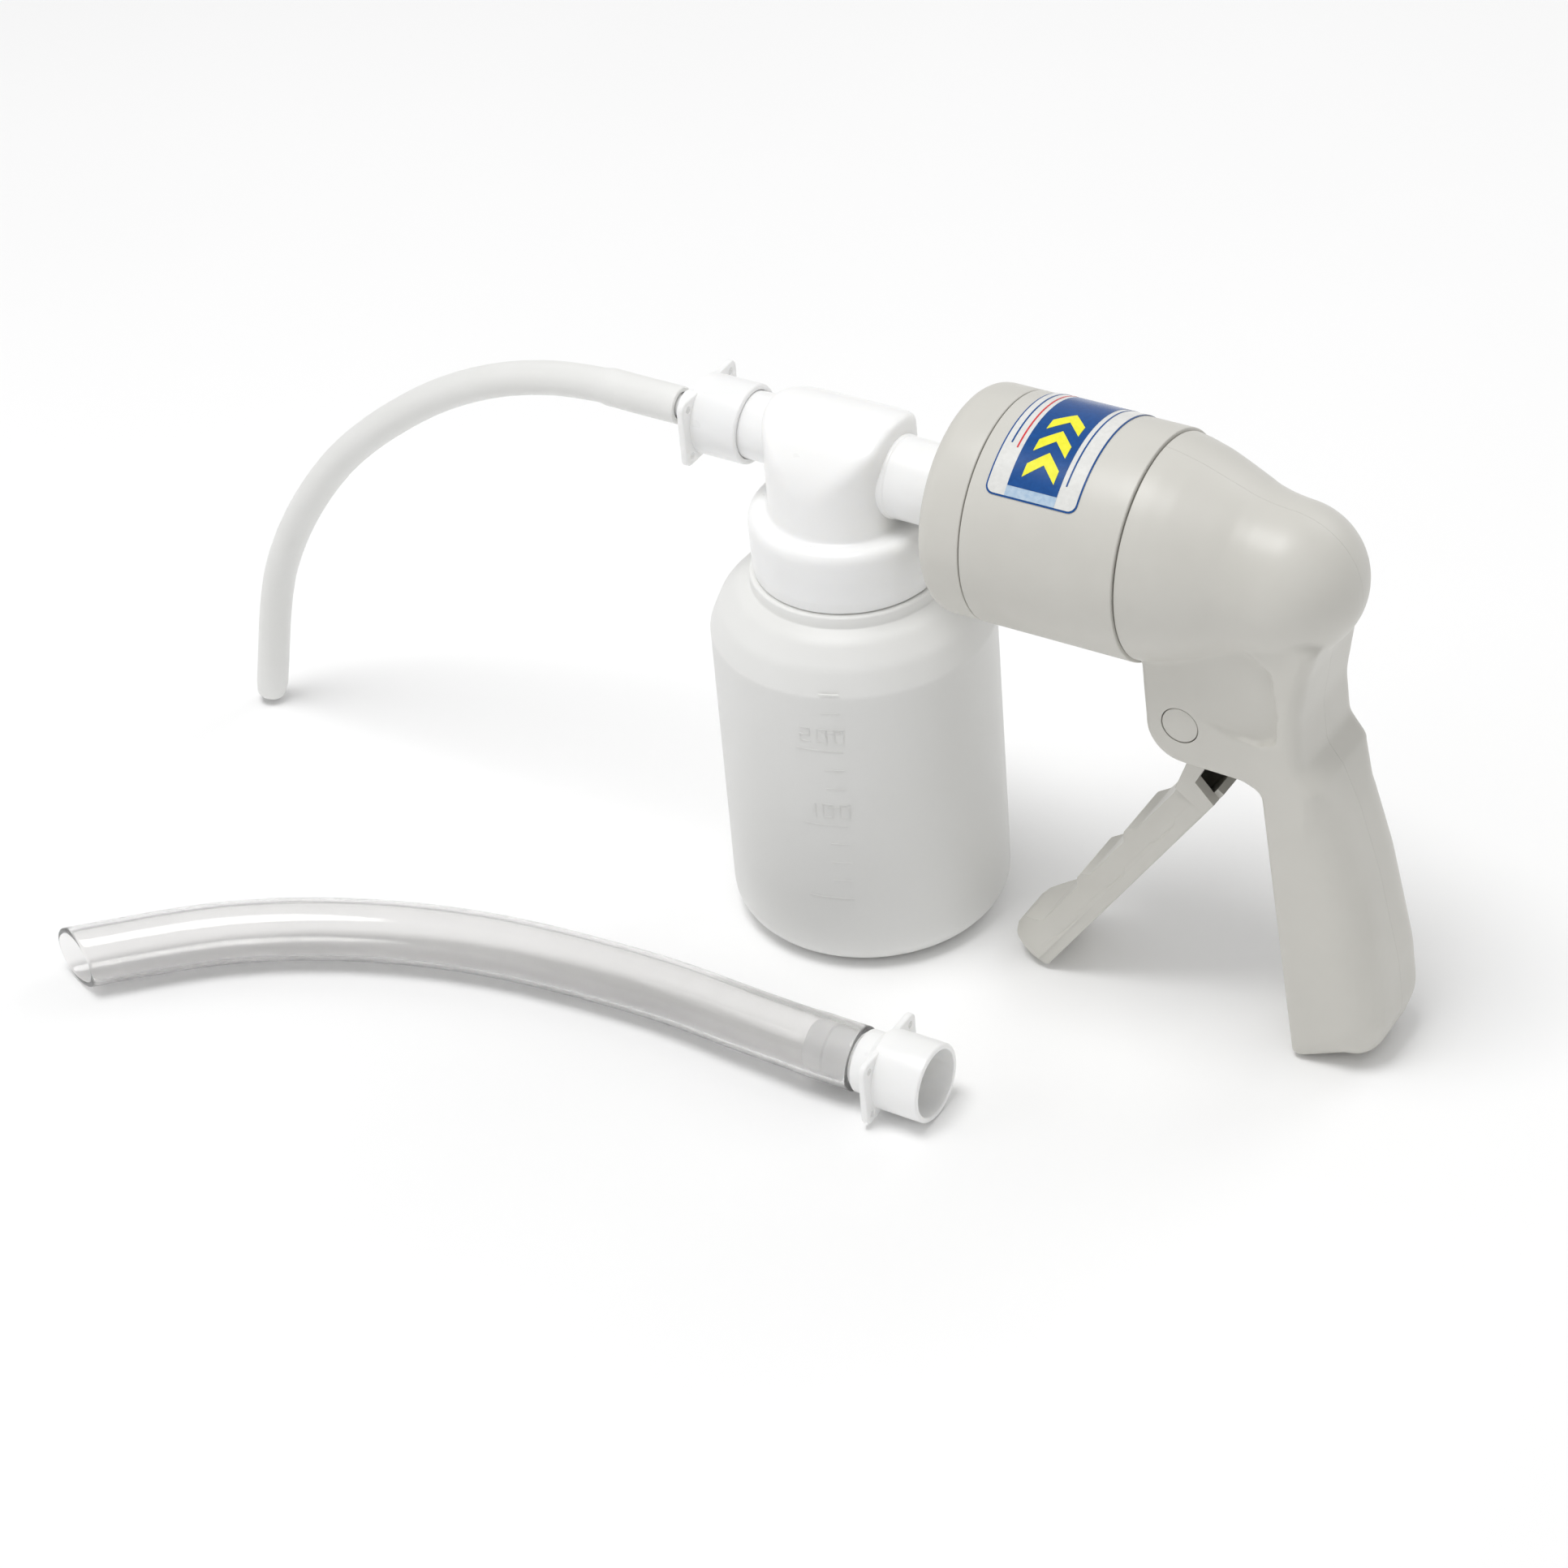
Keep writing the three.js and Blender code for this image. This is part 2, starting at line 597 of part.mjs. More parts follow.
function housingHalves() {
  const shell = housingShell();
  const wall = HANDLE_HALF_WIDTH;
  const bosses = SCREWS.map(([x, z]) => rodY(3.4, -wall + 1.5, wall - 1.5, x, z, 16));
  const pivotBosses = [-1, 1].map((side) => {
    const [y0, y1] = [side * (TRIGGER_HALF_WIDTH + GAP), side * (wall - 1)].sort((a, b) => a - b);
    return rodY(6, y0, y1, PIVOT_X, PIVOT_Z);
  });
  const bore = rodY(PIVOT_PIN_R + GAP, -20, 20, PIVOT_X, PIVOT_Z);
  const capSeats = [rodY(5, -20, -13.9, PIVOT_X, PIVOT_Z), rodY(5, 13.9, 20, PIVOT_X, PIVOT_Z)];
  const pilots = SCREWS.map(([x, z]) => rodY(1.8, -9, 20, x, z, 12));
  const headSeats = SCREWS.map(([x, z]) => rodY(3.1, 9.5, 30, x, z, 16));
  const whole = union([shell, ...bosses, ...pivotBosses]).subtract(union([bore, ...capSeats, ...pilots, ...headSeats]));
  const left = whole.intersect(box([50, -60, -20], [200, -PARTING_GAP, 200]));
  const right = whole.intersect(box([50, PARTING_GAP, -20], [200, 60, 200]));
  return { left, right };
}

function screw([x, z]) {
  const head = rodY(2.7, 9.8, 12, x, z, 14);
  const shank = rodY(1.4, -8, 10, x, z, 12);
  const slot = box([x - 3, 11.2, z - 0.4], [x + 3, 13, z + 0.4]);
  return head.add(shank).subtract(slot);
}

// ---- Assembly -----------------------------------------------------------------------------
addNode("bottle", bottle(), MILKY);
addNode("lid_gasket", lidGasket(), SILICONE);
addNode("canister_lid", canisterLid(), WHITE);
addNode("inlet_spout", inletSpout(), WHITE);

addNode("patient_connector", connector(2.9, 2, 4.6, 30), WHITE).position.set(SLEEVE_MOUTH_X, 0, TAPER_Z);
addNode("small_catheter", tubeAlong(SMALL_ROUTE, SMALL_CATHETER_R, SMALL_CATHETER_BORE_R, 28, 10), MILKY);
addNode("large_connector", connector(6.5, 5.4, 8.1, 20), WHITE).position.set(...LARGE_CONNECTOR_MOUTH);
addNode("large_catheter", largeCatheter(), CLEAR);

addNode("front_cap", frontCap(), WARM_GREY);
addNode("port_seal_ring", ringX(PORT_R + GAP, 12, 41.7, 43.7), RUBBER);
addNode("inlet_valve_disc", ringX(2.1, 8.4, VALVE_PLATE_END_X + GAP, VALVE_PLATE_END_X + GAP + 0.9, 24), SILICONE);
addNode("inlet_valve_retainer", inletRetainer(), ACETAL);
addNode("barrel_o_ring", ringX(23.9, 25.3, 50.6, 52.2, 32), RUBBER);
addNode("barrel", barrel(), WARM_GREY);
addNode("label", label(), BLUE_LABEL);

addNode("piston", piston(), ACETAL);
addNode("piston_seal", ringX(23.1, 25.3, PISTON_X + 1.8, PISTON_X + 4.2, 32), RUBBER);
addNode("piston_rod", pistonRod(), STEEL);
addNode("exhaust_valve_disc", exhaustDisc(), SILICONE);
addNode("exhaust_valve_stop", exhaustStop(), STEEL);
addNode("drive_pin", rodY(DRIVE_PIN_R, -12.3, 12.3, DRIVE_X, AXIS_Z), STEEL);
addNode("return_spring", returnSpring(), STEEL);

addNode("trigger", trigger(), WARM_GREY);
addNode("trigger_bush_near", bush(-TRIGGER_HALF_WIDTH, -TRIGGER_CHANNEL_HALF_WIDTH), ACETAL);
addNode("trigger_bush_far", bush(TRIGGER_CHANNEL_HALF_WIDTH, TRIGGER_HALF_WIDTH), ACETAL);
addNode("pivot_pin", rodY(PIVOT_PIN_R, -13.6, 13.6, PIVOT_X, PIVOT_Z), STEEL);
addNode("pivot_cap_near", rodY(4.65, -15.4, -14.2, PIVOT_X, PIVOT_Z, 24), WARM_GREY);
addNode("pivot_cap_far", rodY(4.65, 14.2, 15.4, PIVOT_X, PIVOT_Z, 24), WARM_GREY);

const halves = housingHalves();
addNode("housing_near", halves.left, WARM_GREY);
addNode("housing_far", halves.right, WARM_GREY);
SCREWS.forEach((place, i) => addNode(`housing_screw_${i + 1}`, screw(place), STEEL));

export default root;
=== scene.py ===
import math

import bmesh
import bpy
from mathutils import Matrix, Vector


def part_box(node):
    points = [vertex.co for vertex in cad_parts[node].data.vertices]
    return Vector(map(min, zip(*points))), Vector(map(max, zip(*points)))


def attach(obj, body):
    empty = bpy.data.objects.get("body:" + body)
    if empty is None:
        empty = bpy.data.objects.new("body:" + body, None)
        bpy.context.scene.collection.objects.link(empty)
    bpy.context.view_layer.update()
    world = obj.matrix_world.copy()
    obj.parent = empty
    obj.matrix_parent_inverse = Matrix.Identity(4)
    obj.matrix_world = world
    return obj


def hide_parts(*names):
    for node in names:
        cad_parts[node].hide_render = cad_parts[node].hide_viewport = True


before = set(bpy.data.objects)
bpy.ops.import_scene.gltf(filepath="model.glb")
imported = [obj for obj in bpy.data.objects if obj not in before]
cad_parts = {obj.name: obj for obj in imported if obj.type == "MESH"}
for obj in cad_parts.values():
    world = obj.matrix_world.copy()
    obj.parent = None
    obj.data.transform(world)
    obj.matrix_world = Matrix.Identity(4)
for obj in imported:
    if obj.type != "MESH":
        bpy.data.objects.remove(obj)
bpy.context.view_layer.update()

MM = 0.001


# ---- Sizes in millimetres, taken from the frame where a node gives them ---------------------
def corners(node):
    """A node's lowest and highest corners at rest, in millimetres."""
    low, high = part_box(node)
    return Vector(low) / MM, Vector(high) / MM


BARREL_LOW, BARREL_HIGH = corners("barrel")
AXIS_Z = (BARREL_LOW.z + BARREL_HIGH.z) / 2
BARREL_R = (BARREL_HIGH.z - BARREL_LOW.z) / 2
FRONT_X = corners("front_cap")[0].x
SEAM_1_X = BARREL_LOW.x - 0.3
SEAM_2_X = corners("housing_near")[0].x
BOTTLE_R = corners("bottle")[1].x
NECK_TOP_Z = corners("bottle")[1].z
CAP_R = corners("canister_lid")[1].y
CAP_BOTTOM_Z = corners("canister_lid")[0].z
TAPER_END_X = corners("canister_lid")[0].x
PORT_END_X = corners("canister_lid")[1].x
TAPER_Z = (corners("patient_connector")[0].z + corners("patient_connector")[1].z) / 2
PATIENT_MOUTH = Vector((corners("patient_connector")[1].x, 0, TAPER_Z))
LOOSE_MOUTH = Vector((corners("large_connector")[1].x, -73, 10.2))
PIVOT = Vector((99.2, 0, 92))
HANDLE_HALF_WIDTH = 15.5


# ---- Outlines -------------------------------------------------------------------------------
def arc(cx, cy, rx, ry, start, end, steps):
    """Points along an ellipse's arc, between two angles in degrees."""
    turns = [math.radians(start + (end - start) * i / steps) for i in range(steps + 1)]
    return [(cx + rx * math.cos(t), cy + ry * math.sin(t)) for t in turns]


def rounded(points, steps=5):
    """A closed outline whose corners, given as (x, y, radius), are rounded."""
    out = []
    for i, point in enumerate(points):
        here = Vector(point[:2])
        radius = point[2] if len(point) > 2 else 0
        to_last = Vector(points[i - 1][:2]) - here
        to_next = Vector(points[(i + 1) % len(points)][:2]) - here
        half = to_last.angle(to_next) / 2
        if radius == 0 or half > math.radians(89):
            out.append(tuple(here))
            continue
        radius = min(radius, 0.49 * min(to_last.length, to_next.length) * math.tan(half))
        to_last.normalize()
        to_next.normalize()
        centre = here + (to_last + to_next).normalized() * radius / math.sin(half)
        first = (here + to_last * radius / math.tan(half) - centre).normalized()
        last = (here + to_next * radius / math.tan(half) - centre).normalized()
        out += [tuple(centre + radius * first.slerp(last, k / steps)) for k in range(steps + 1)]
    return out


def dense(points, longest):
    """The same closed outline with no side longer than the given length."""
    out = []
    for a, b in zip(points, points[1:] + points[:1]):
        count = max(1, math.ceil((Vector(b) - Vector(a)).length / longest))
        out += [tuple(Vector(a).lerp(Vector(b), k / count)) for k in range(count)]
    return out


# ---- Mesh making: every shape is drawn in millimetres and stored in metres -------------------
SHARP_ANGLE = 35
SAME_PLACE = 1e-6
ALONG_X = Matrix.Rotation(math.radians(90), 4, "Y")


def made(name, bm, place=Matrix(), sharp=SHARP_ANGLE):
    """A bmesh as an object, smooth except at edges sharper than the given angle."""
    bmesh.ops.recalc_face_normals(bm, faces=bm.faces)
    bmesh.ops.transform(bm, matrix=Matrix.Scale(MM, 4) @ place, verts=bm.verts)
    mesh = bpy.data.meshes.new(name)
    bm.to_mesh(mesh)
    bm.free()
    mesh.shade_smooth()
    mesh.set_sharp_from_angle(angle=math.radians(sharp))
    obj = bpy.data.objects.new(name, mesh)
    bpy.context.scene.collection.objects.link(obj)
    return obj


def skinned(rings, closed):
    """A bmesh with quads between rings of points; a ring of one point is a pole."""
    bm = bmesh.new()
    rows = [[bm.verts.new(p) for p in ring] for ring in rings]
    pairs = list(zip(rows, rows[1:])) + ([(rows[-1], rows[0])] if closed else [])
    for a, b in pairs:
        count = max(len(a), len(b))
        for i in range(count):
            j = (i + 1) % count
            corner = [a[i % len(a)], a[j % len(a)], b[j % len(b)], b[i % len(b)]]
            bm.faces.new(list(dict.fromkeys(corner)))
    return bm


def turned(name, profile, place=Matrix(), segments=128, sharp=SHARP_ANGLE):
    """A solid turned about Z from [radius, height] points, then placed."""
    closed = profile[0][0] > 0
    rings = []
    for r, z in profile:
        count = segments if r > 0 else 1
        angles = [2 * math.pi * i / segments for i in range(count)]
        rings.append([(r * math.cos(a), r * math.sin(a), z) for a in angles])
    return made(name, skinned(rings, closed), place, sharp)


def turned_x(name, profile, z=AXIS_Z, y=0, segments=128):
    """A solid turned about an axis along X, the barrel's unless told otherwise."""
    return turned(name, profile, Matrix.Translation((0, y, z)) @ ALONG_X, segments)


def slab(name, outline, y0, y1, edge=0.0, place=Matrix()):
    """An [x, z] outline with a thickness along Y and rounded edges."""
    bm = bmesh.new()
    face = bm.faces.new([bm.verts.new((x, y0, z)) for x, z in outline])
    grown = bmesh.ops.extrude_face_region(bm, geom=[face])["geom"]
    for v in [g for g in grown if isinstance(g, bmesh.types.BMVert)]:
        v.co.y = y1
    bmesh.ops.recalc_face_normals(bm, faces=bm.faces)
    if edge > 0:
        rims = [e for e in bm.edges if abs(e.verts[0].co.y - e.verts[1].co.y) < SAME_PLACE]
        bmesh.ops.bevel(bm, geom=rims, offset=edge, segments=5, profile=0.5, affect="EDGES",
                        clamp_overlap=True)
    return made(name, bm, place)


def rod_y(name, r, y0, y1, x, z, edge=0.0, segments=64):
    """A round rod across the pump; an edge above zero rounds its ends."""
    profile = rounded([(0, y0), (r, y0, edge), (r, y1, edge), (0, y1)], 3)
    place = Matrix.Translation((x, 0, z)) @ Matrix.Rotation(math.radians(-90), 4, "X")
    return turned(name, profile, place, segments)


def bake(obj):
    """Applies an object's modifiers."""
    graph = bpy.context.evaluated_depsgraph_get()
    mesh = bpy.data.meshes.new_from_object(obj.evaluated_get(graph))
    obj.modifiers.clear()
    obj.data = mesh
    return obj


def cut(obj, tools, operation="DIFFERENCE"):
    """Cuts tools from an object, joins them to it or keeps what they share, and removes them."""
    for tool in tools:
        change = obj.modifiers.new("cut", "BOOLEAN")
        change.operation = operation
        change.solver = "MANIFOLD"
        change.object = tool
        bake(obj)
        bpy.data.objects.remove(tool)
    obj.data.shade_smooth()
    obj.data.set_sharp_from_angle(angle=math.radians(SHARP_ANGLE))
    return obj


def copy_of(obj, name):
    """The same piece again, with a mesh of its own."""
    twin = obj.copy()
    twin.data = obj.data.copy()
    twin.name = name
    bpy.context.scene.collection.objects.link(twin)
    return twin


def melted(obj, voxel, passes):
    """Overlapping shapes grown into one skin, with soft fillets where they meet."""
    skin = obj.modifiers.new("skin", "REMESH")
    skin.mode = "VOXEL"
    skin.voxel_size = voxel * MM
    soft = obj.modifiers.new("soft", "SMOOTH")
    soft.factor = 0.5
    soft.iterations = passes
    return bake(obj)


def joined(name, parts):
    """Several meshes as one object."""
    bm = bmesh.new()
    for part in parts:
        bm.from_mesh(part.data)
        bpy.data.objects.remove(part)
    mesh = bpy.data.meshes.new(name)
    bm.to_mesh(mesh)
    bm.free()
    obj = bpy.data.objects.new(name, mesh)
    bpy.context.scene.collection.objects.link(obj)
    return obj


def drill(name, r, low, high, place=Matrix(), segments=128):
    """A plain round bar along Z, then placed, used as a cutting tool."""
    return turned(name, [(0, low), (r, low), (r, high), (0, high)], place, segments)


def block(name, low, high):
    """A plain box between two corners, used as a cutting tool."""
    outline = [(low[0], low[2]), (high[0], low[2]), (high[0], high[2]), (low[0], high[2])]
    return slab(name, outline, low[1], high[1])


# ---- Tubes along a route --------------------------------------------------------------------
ROUTE_STEP = 1.5
TUBE_SIDES = 72
SLANT_LENGTH = 26


def smooth_route(points):
    """A centripetal Catmull-Rom curve through the points, sampled about every ROUTE_STEP."""
    p = [Vector(q) for q in points]
    p = [2 * p[0] - p[1]] + p + [2 * p[-1] - p[-2]]
    out = []
    for a, b, c, d in zip(p, p[1:], p[2:], p[3:]):
        t0, t1, t2 = [math.sqrt((v - u).length) for u, v in ((a, b), (b, c), (c, d))]
        m1 = ((b - a) / t0 - (c - a) / (t0 + t1) + (c - b) / t1) * t1
        m2 = ((c - b) / t1 - (d - b) / (t1 + t2) + (d - c) / t2) * t1
        count = max(2, round((c - b).length / ROUTE_STEP))
        for k in range(count):
            t = k / count
            h = (2 * t**3 - 3 * t**2 + 1, t**3 - 2 * t**2 + t, 3 * t**2 - 2 * t**3, t**3 - t**2)
            out.append(h[0] * b + h[1] * m1 + h[2] * c + h[3] * m2)
    return out + [p[-2]]


def tube_along(name, route, profile, side, slant=None):
    """A turned [radius, distance] profile bent along a route; slant tilts the far end's face."""
    lengths = [0.0]
    for a, b in zip(route, route[1:]):
        lengths.append(lengths[-1] + (b - a).length)
    total = lengths[-1]

    def at(s):
        """The route's point and direction at a distance from its start."""
        i = min(max(sum(1 for v in lengths if v <= s) - 1, 0), len(route) - 2)
        u = (s - lengths[i]) / (lengths[i + 1] - lengths[i])
        tangents = [(route[min(k + 1, len(route) - 1)] - route[max(k - 1, 0)]).normalized()
                    for k in (i, i + 1)]
        along = tangents[0].lerp(tangents[1], min(max(u, 0), 1)).normalized()
        return route[i].lerp(route[i + 1], u), along

    rings = []
    for r, s in profile:
        centre, along = at(s)
        u = (side - along * side.dot(along)).normalized()
        v = along.cross(u)
        ring = []
        for k in range(TUBE_SIDES):
            a = 2 * math.pi * k / TUBE_SIDES
            out = r * (math.cos(a) * u + math.sin(a) * v)
            point = centre + out
            if slant:
                weight = max(0.0, 1 - (total - s) / SLANT_LENGTH) ** 2
                point -= along * weight * out.dot(slant) / along.dot(slant)
            ring.append(point)
        rings.append(ring)
    return made(name, skinned(rings, True))


# ---- Materials ------------------------------------------------------------------------------
def material(name, color, roughness, **sockets):
    """A Principled material; keywords set its sockets by name, with spaces as underscores."""
    mat = bpy.data.materials.new(name)
    mat.use_nodes = True
    shader = mat.node_tree.nodes["Principled BSDF"]
    shader.inputs["Base Color"].default_value = (*color, 1)
    shader.inputs["Roughness"].default_value = roughness
    for key, value in sockets.items():
        shader.inputs[key.replace("_", " ")].default_value = value
    return mat


def add(mat, kind, **settings):
    """A node with some of its properties and input values set."""
    node = mat.node_tree.nodes.new(kind)
    for key, value in settings.items():
        if hasattr(node, key):
            setattr(node, key, value)
        else:
            node.inputs[key.replace("_", " ")].default_value = value
    return node


def link(mat, a, out, b, into):
    """Joins one node's output to another node's input."""
    mat.node_tree.links.new(a.outputs[out], b.inputs[into])


def noise(mat, scale, detail=3.0):
    """A noise pattern fixed to the piece, in metres."""
    place = add(mat, "ShaderNodeTexCoord")
    node = add(mat, "ShaderNodeTexNoise", Scale=scale, Detail=detail, Roughness=0.5)
    link(mat, place, "Object", node, "Vector")
    return node


def tinted(mat, scale, low, high):
    """Lets the base colour wander between two close colours."""
    source = noise(mat, scale)
    ramp = add(mat, "ShaderNodeValToRGB")
    for stop, position, colour in zip(ramp.color_ramp.elements, (0.3, 0.7), (low, high)):
        stop.position = position
        stop.color = (*colour, 1)
    link(mat, source, "Fac", ramp, "Fac")
    link(mat, ramp, "Color", mat.node_tree.nodes["Principled BSDF"], "Base Color")


def worn(mat, scale, low, high):
    """Lets the roughness wander between two values."""
    source = noise(mat, scale, detail=4.0)
    spread = add(mat, "ShaderNodeMapRange")
    spread.inputs["To Min"].default_value = low
    spread.inputs["To Max"].default_value = high
    link(mat, source, "Fac", spread, "Value")
    link(mat, spread, "Result", mat.node_tree.nodes["Principled BSDF"], "Roughness")


def grained(mat, scale, strength, distance=0.05):
    """Gives the surface a fine relief, with its depth in millimetres."""
    source = noise(mat, scale, detail=2.0)
    relief = add(mat, "ShaderNodeBump", Strength=strength, Distance=distance * MM)
    link(mat, source, "Fac", relief, "Height")
    link(mat, relief, "Normal", mat.node_tree.nodes["Principled BSDF"], "Normal")


def casing():
    """Spark-eroded warm grey ABS: fine grain, satin, with faint flow marks."""
    mat = material("casing", (0.615, 0.603, 0.56), 0.38, IOR=1.5, Specular_IOR_Level=0.45)
    tinted(mat, 45, (0.6, 0.588, 0.545), (0.63, 0.618, 0.575))
    worn(mat, 140, 0.33, 0.45)
    grained(mat, 2600, 0.16)
    return mat


def white_plastic():
    """Glossy white polypropylene that lets a little light in."""
    mat = material("white_plastic", (0.93, 0.93, 0.92), 0.28, IOR=1.49, Subsurface_Weight=0.25,
                   Subsurface_Scale=0.004, Subsurface_Radius=(1.0, 0.95, 0.85), Coat_Weight=0.12)
    tinted(mat, 60, (0.92, 0.92, 0.91), (0.94, 0.94, 0.932))
    worn(mat, 170, 0.24, 0.36)
    grained(mat, 700, 0.05)
    return mat


def milky_bottle():
    """Blow-moulded polyethylene, milky and softly see-through."""
    mat = material("milky_bottle", (0.95, 0.95, 0.925), 0.32, IOR=1.45, Transmission_Weight=0.1,
                   Subsurface_Weight=0.27, Subsurface_Scale=0.008, Subsurface_Radius=(1, 1, 1))
    tinted(mat, 26, (0.935, 0.935, 0.91), (0.96, 0.96, 0.94))
    worn(mat, 90, 0.34, 0.5)
    grained(mat, 220, 0.12, 0.12)
    return mat


def milky_tube():
    """Frosted catheter vinyl."""
    mat = material("milky_tube", (0.93, 0.93, 0.905), 0.34, IOR=1.45, Transmission_Weight=0.12,
                   Subsurface_Weight=0.2, Subsurface_Scale=0.005, Subsurface_Radius=(1, 1, 1))
    tinted(mat, 50, (0.915, 0.915, 0.89), (0.94, 0.94, 0.92))
    worn(mat, 120, 0.3, 0.46)
    grained(mat, 900, 0.08)
    return mat


def clear_tube():
    """Clear vinyl with a faint smoky tint and drawing marks."""
    mat = material("clear_tube", (0.98, 0.975, 0.97), 0.06, IOR=1.42, Transmission_Weight=0.93)
    tinted(mat, 60, (0.97, 0.965, 0.96), (0.99, 0.985, 0.98))
    worn(mat, 80, 0.04, 0.12)
    grained(mat, 60, 0.02)
    return mat


def silicone():
    """Matt beige silicone rubber."""
    mat = material("silicone", (0.68, 0.64, 0.55), 0.55, Subsurface_Weight=0.2, Subsurface_Scale=0.003)
    tinted(mat, 120, (0.64, 0.6, 0.51), (0.72, 0.68, 0.59))
    worn(mat, 300, 0.48, 0.66)
    grained(mat, 1500, 0.1)
    return mat


def black_rubber():
    """Matt black rubber of the O-rings and the piston's seal."""
    mat = material("black_rubber", (0.025, 0.025, 0.026), 0.6)
    tinted(mat, 150, (0.018, 0.018, 0.019), (0.036, 0.036, 0.038))
    worn(mat, 400, 0.5, 0.75)
    grained(mat, 1800, 0.15)
    return mat


def steel():
    """Drawn stainless steel."""
    mat = material("steel", (0.56, 0.57, 0.58), 0.28, Metallic=1.0)
    tinted(mat, 200, (0.52, 0.53, 0.54), (0.62, 0.63, 0.64))
    worn(mat, 700, 0.2, 0.38)
    grained(mat, 2400, 0.06)
    return mat


def acetal():
    """Waxy cream acetal."""
    mat = material("acetal", (0.8, 0.78, 0.72), 0.36, Subsurface_Weight=0.12, Subsurface_Scale=0.002)
    tinted(mat, 90, (0.77, 0.75, 0.69), (0.83, 0.81, 0.75))
    worn(mat, 260, 0.3, 0.45)
    grained(mat, 1300, 0.08)
    return mat


def ink(name, low, high):
    """Printed film: one ink with a fine print grain under a glossy laminate."""
    roughness = 0.2
    mat = material(name, high, roughness, Coat_Weight=0.15, Coat_Roughness=0.2, Specular_IOR_Level=0.3)
    tinted(mat, 900, low, high)
    worn(mat, 200, roughness - 0.04, roughness + 0.08)
    grained(mat, 500, 0.03)
    return mat


def floor_paper():
    """Pale matt paper."""
    mat = material("floor_paper", (0.95, 0.95, 0.95), 0.75, Specular_IOR_Level=0.2)
    tinted(mat, 6, (0.945, 0.945, 0.945), (0.955, 0.955, 0.955))
    return mat


LOOKS = {
    "casing": casing(),
    "white_plastic": white_plastic(),
    "milky_bottle": milky_bottle(),
    "milky_tube": milky_tube(),
    "clear_tube": clear_tube(),
    "silicone": silicone(),
    "black_rubber": black_rubber(),
    "steel": steel(),
    "acetal": acetal(),
    "label_film": ink("film", (0.7, 0.7, 0.68), (0.76, 0.76, 0.74)),
}


def wear(obj, mat):
    """Gives an object one material in place of those it has."""
    obj.data.materials.clear()
    obj.data.materials.append(mat)


def place(obj, body, slot, *nodes, look=None):
    """Finishes a piece: its body, its slot and look, and the CAD nodes that it replaces."""
    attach(obj, body)
    wear(obj, look or LOOKS[slot])
    if nodes:
        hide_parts(*nodes)
    return obj


# ---- Bottle ---------------------------------------------------------------------------------
MARKS_LOW_Z = 23
MARKS_STEP_Z = 23
MARKS_TURN = -75
RELIEF = 0.08


def seven_segments(digit):
    """The bars of a plain stencilled figure, 2 wide and 4 high, as centre and size."""
    bars = {"a": (0, 2, 1), "b": (1, 1, 0), "c": (1, -1, 0), "d": (0, -2, 1), "e": (-1, -1, 0),
            "f": (-1, 1, 0), "g": (0, 0, 1)}
    used = {"0": "abcdef", "1": "bc", "2": "abged"}
    return [bars[b] for b in used[digit]]


def raised_marks():
    """The bottle's moulded scale: ticks, and figures at 100 and 200 ml."""
    first_digit, digit_pitch, digit_rise = -3.5, 4.4, 4.6
    marks = []
    for n in range(3):
        z = MARKS_LOW_Z + n * MARKS_STEP_Z
        marks.append((0.0, z, 12.0, 0.5))
        for minor in (1, 2, 3):
            marks.append((3.5, z + minor * MARKS_STEP_Z / 4, 5.0, 0.4))
    for n, text in ((1, "100"), (2, "200")):
        for i, digit in enumerate(text):
            for u, v, flat in seven_segments(digit):
                size = (2.8, 0.45) if flat else (0.45, 2.2)
                z = MARKS_LOW_Z + n * MARKS_STEP_Z + digit_rise + v
                marks.append((first_digit + i * digit_pitch + 1.2 * u, z, *size))
    root, top, slope = BOTTLE_R - 0.1, BOTTLE_R + RELIEF, 0.15
    bm = bmesh.new()
    for u, z, wide, high in marks:
        span = math.degrees(wide / BOTTLE_R)
        middle = MARKS_TURN + math.degrees(u / BOTTLE_R)
        angles = [math.radians(middle + span * (k / 6 - 0.5)) for k in range(7)]
        ring = [(root, z + (-high / 2 - slope)), (top, z - high / 2), (top, z + high / 2),
                (root, z + (high / 2 + slope))]
        rows = [[bm.verts.new((r * math.cos(a), r * math.sin(a), h)) for r, h in ring] for a in angles]
        for a, b in zip(rows, rows[1:]):
            for k in range(4):
                bm.faces.new((a[k], a[(k + 1) % 4], b[(k + 1) % 4], b[k]))
        bm.faces.new(rows[0])
        bm.faces.new(rows[-1][::-1])
    return made("bottle_scale", bm)


def bottle():
    """A blow-moulded shell with a rounded foot and shoulder, a collar ring and an open neck."""
    wall, collar_r, neck_r, mouth_r = 1.3, 25, 21.4, 19.6
    inner_r = BOTTLE_R - wall
    outside = [(0, 0.8), (15, 0.8, 2), (20, 0, 2), (BOTTLE_R, 0, 9), (BOTTLE_R, 85.2, 3),
               (33.3, 91.6, 7), (28.6, 96.6, 7), (collar_r, 98.3, 0.5), (collar_r, 101.5, 0.6),
               (neck_r, 101.5), (neck_r, NECK_TOP_Z, 0.5)]
    inside = [(mouth_r, NECK_TOP_Z, 0.5), (mouth_r, 97, 1), (25.5, 96.6, 2), (28, 95.3, 6),
              (32.2, 90.6, 7), (inner_r, 84.8, 3), (inner_r, wall, 8), (18, wall + 0.6, 2),
              (0, wall + 0.9)]
    shell = turned("bottle_shell", rounded(outside + inside, 8), segments=160, sharp=50)
    place(shell, "bottle", "milky_bottle", "bottle")
    place(raised_marks(), "bottle", "milky_bottle")


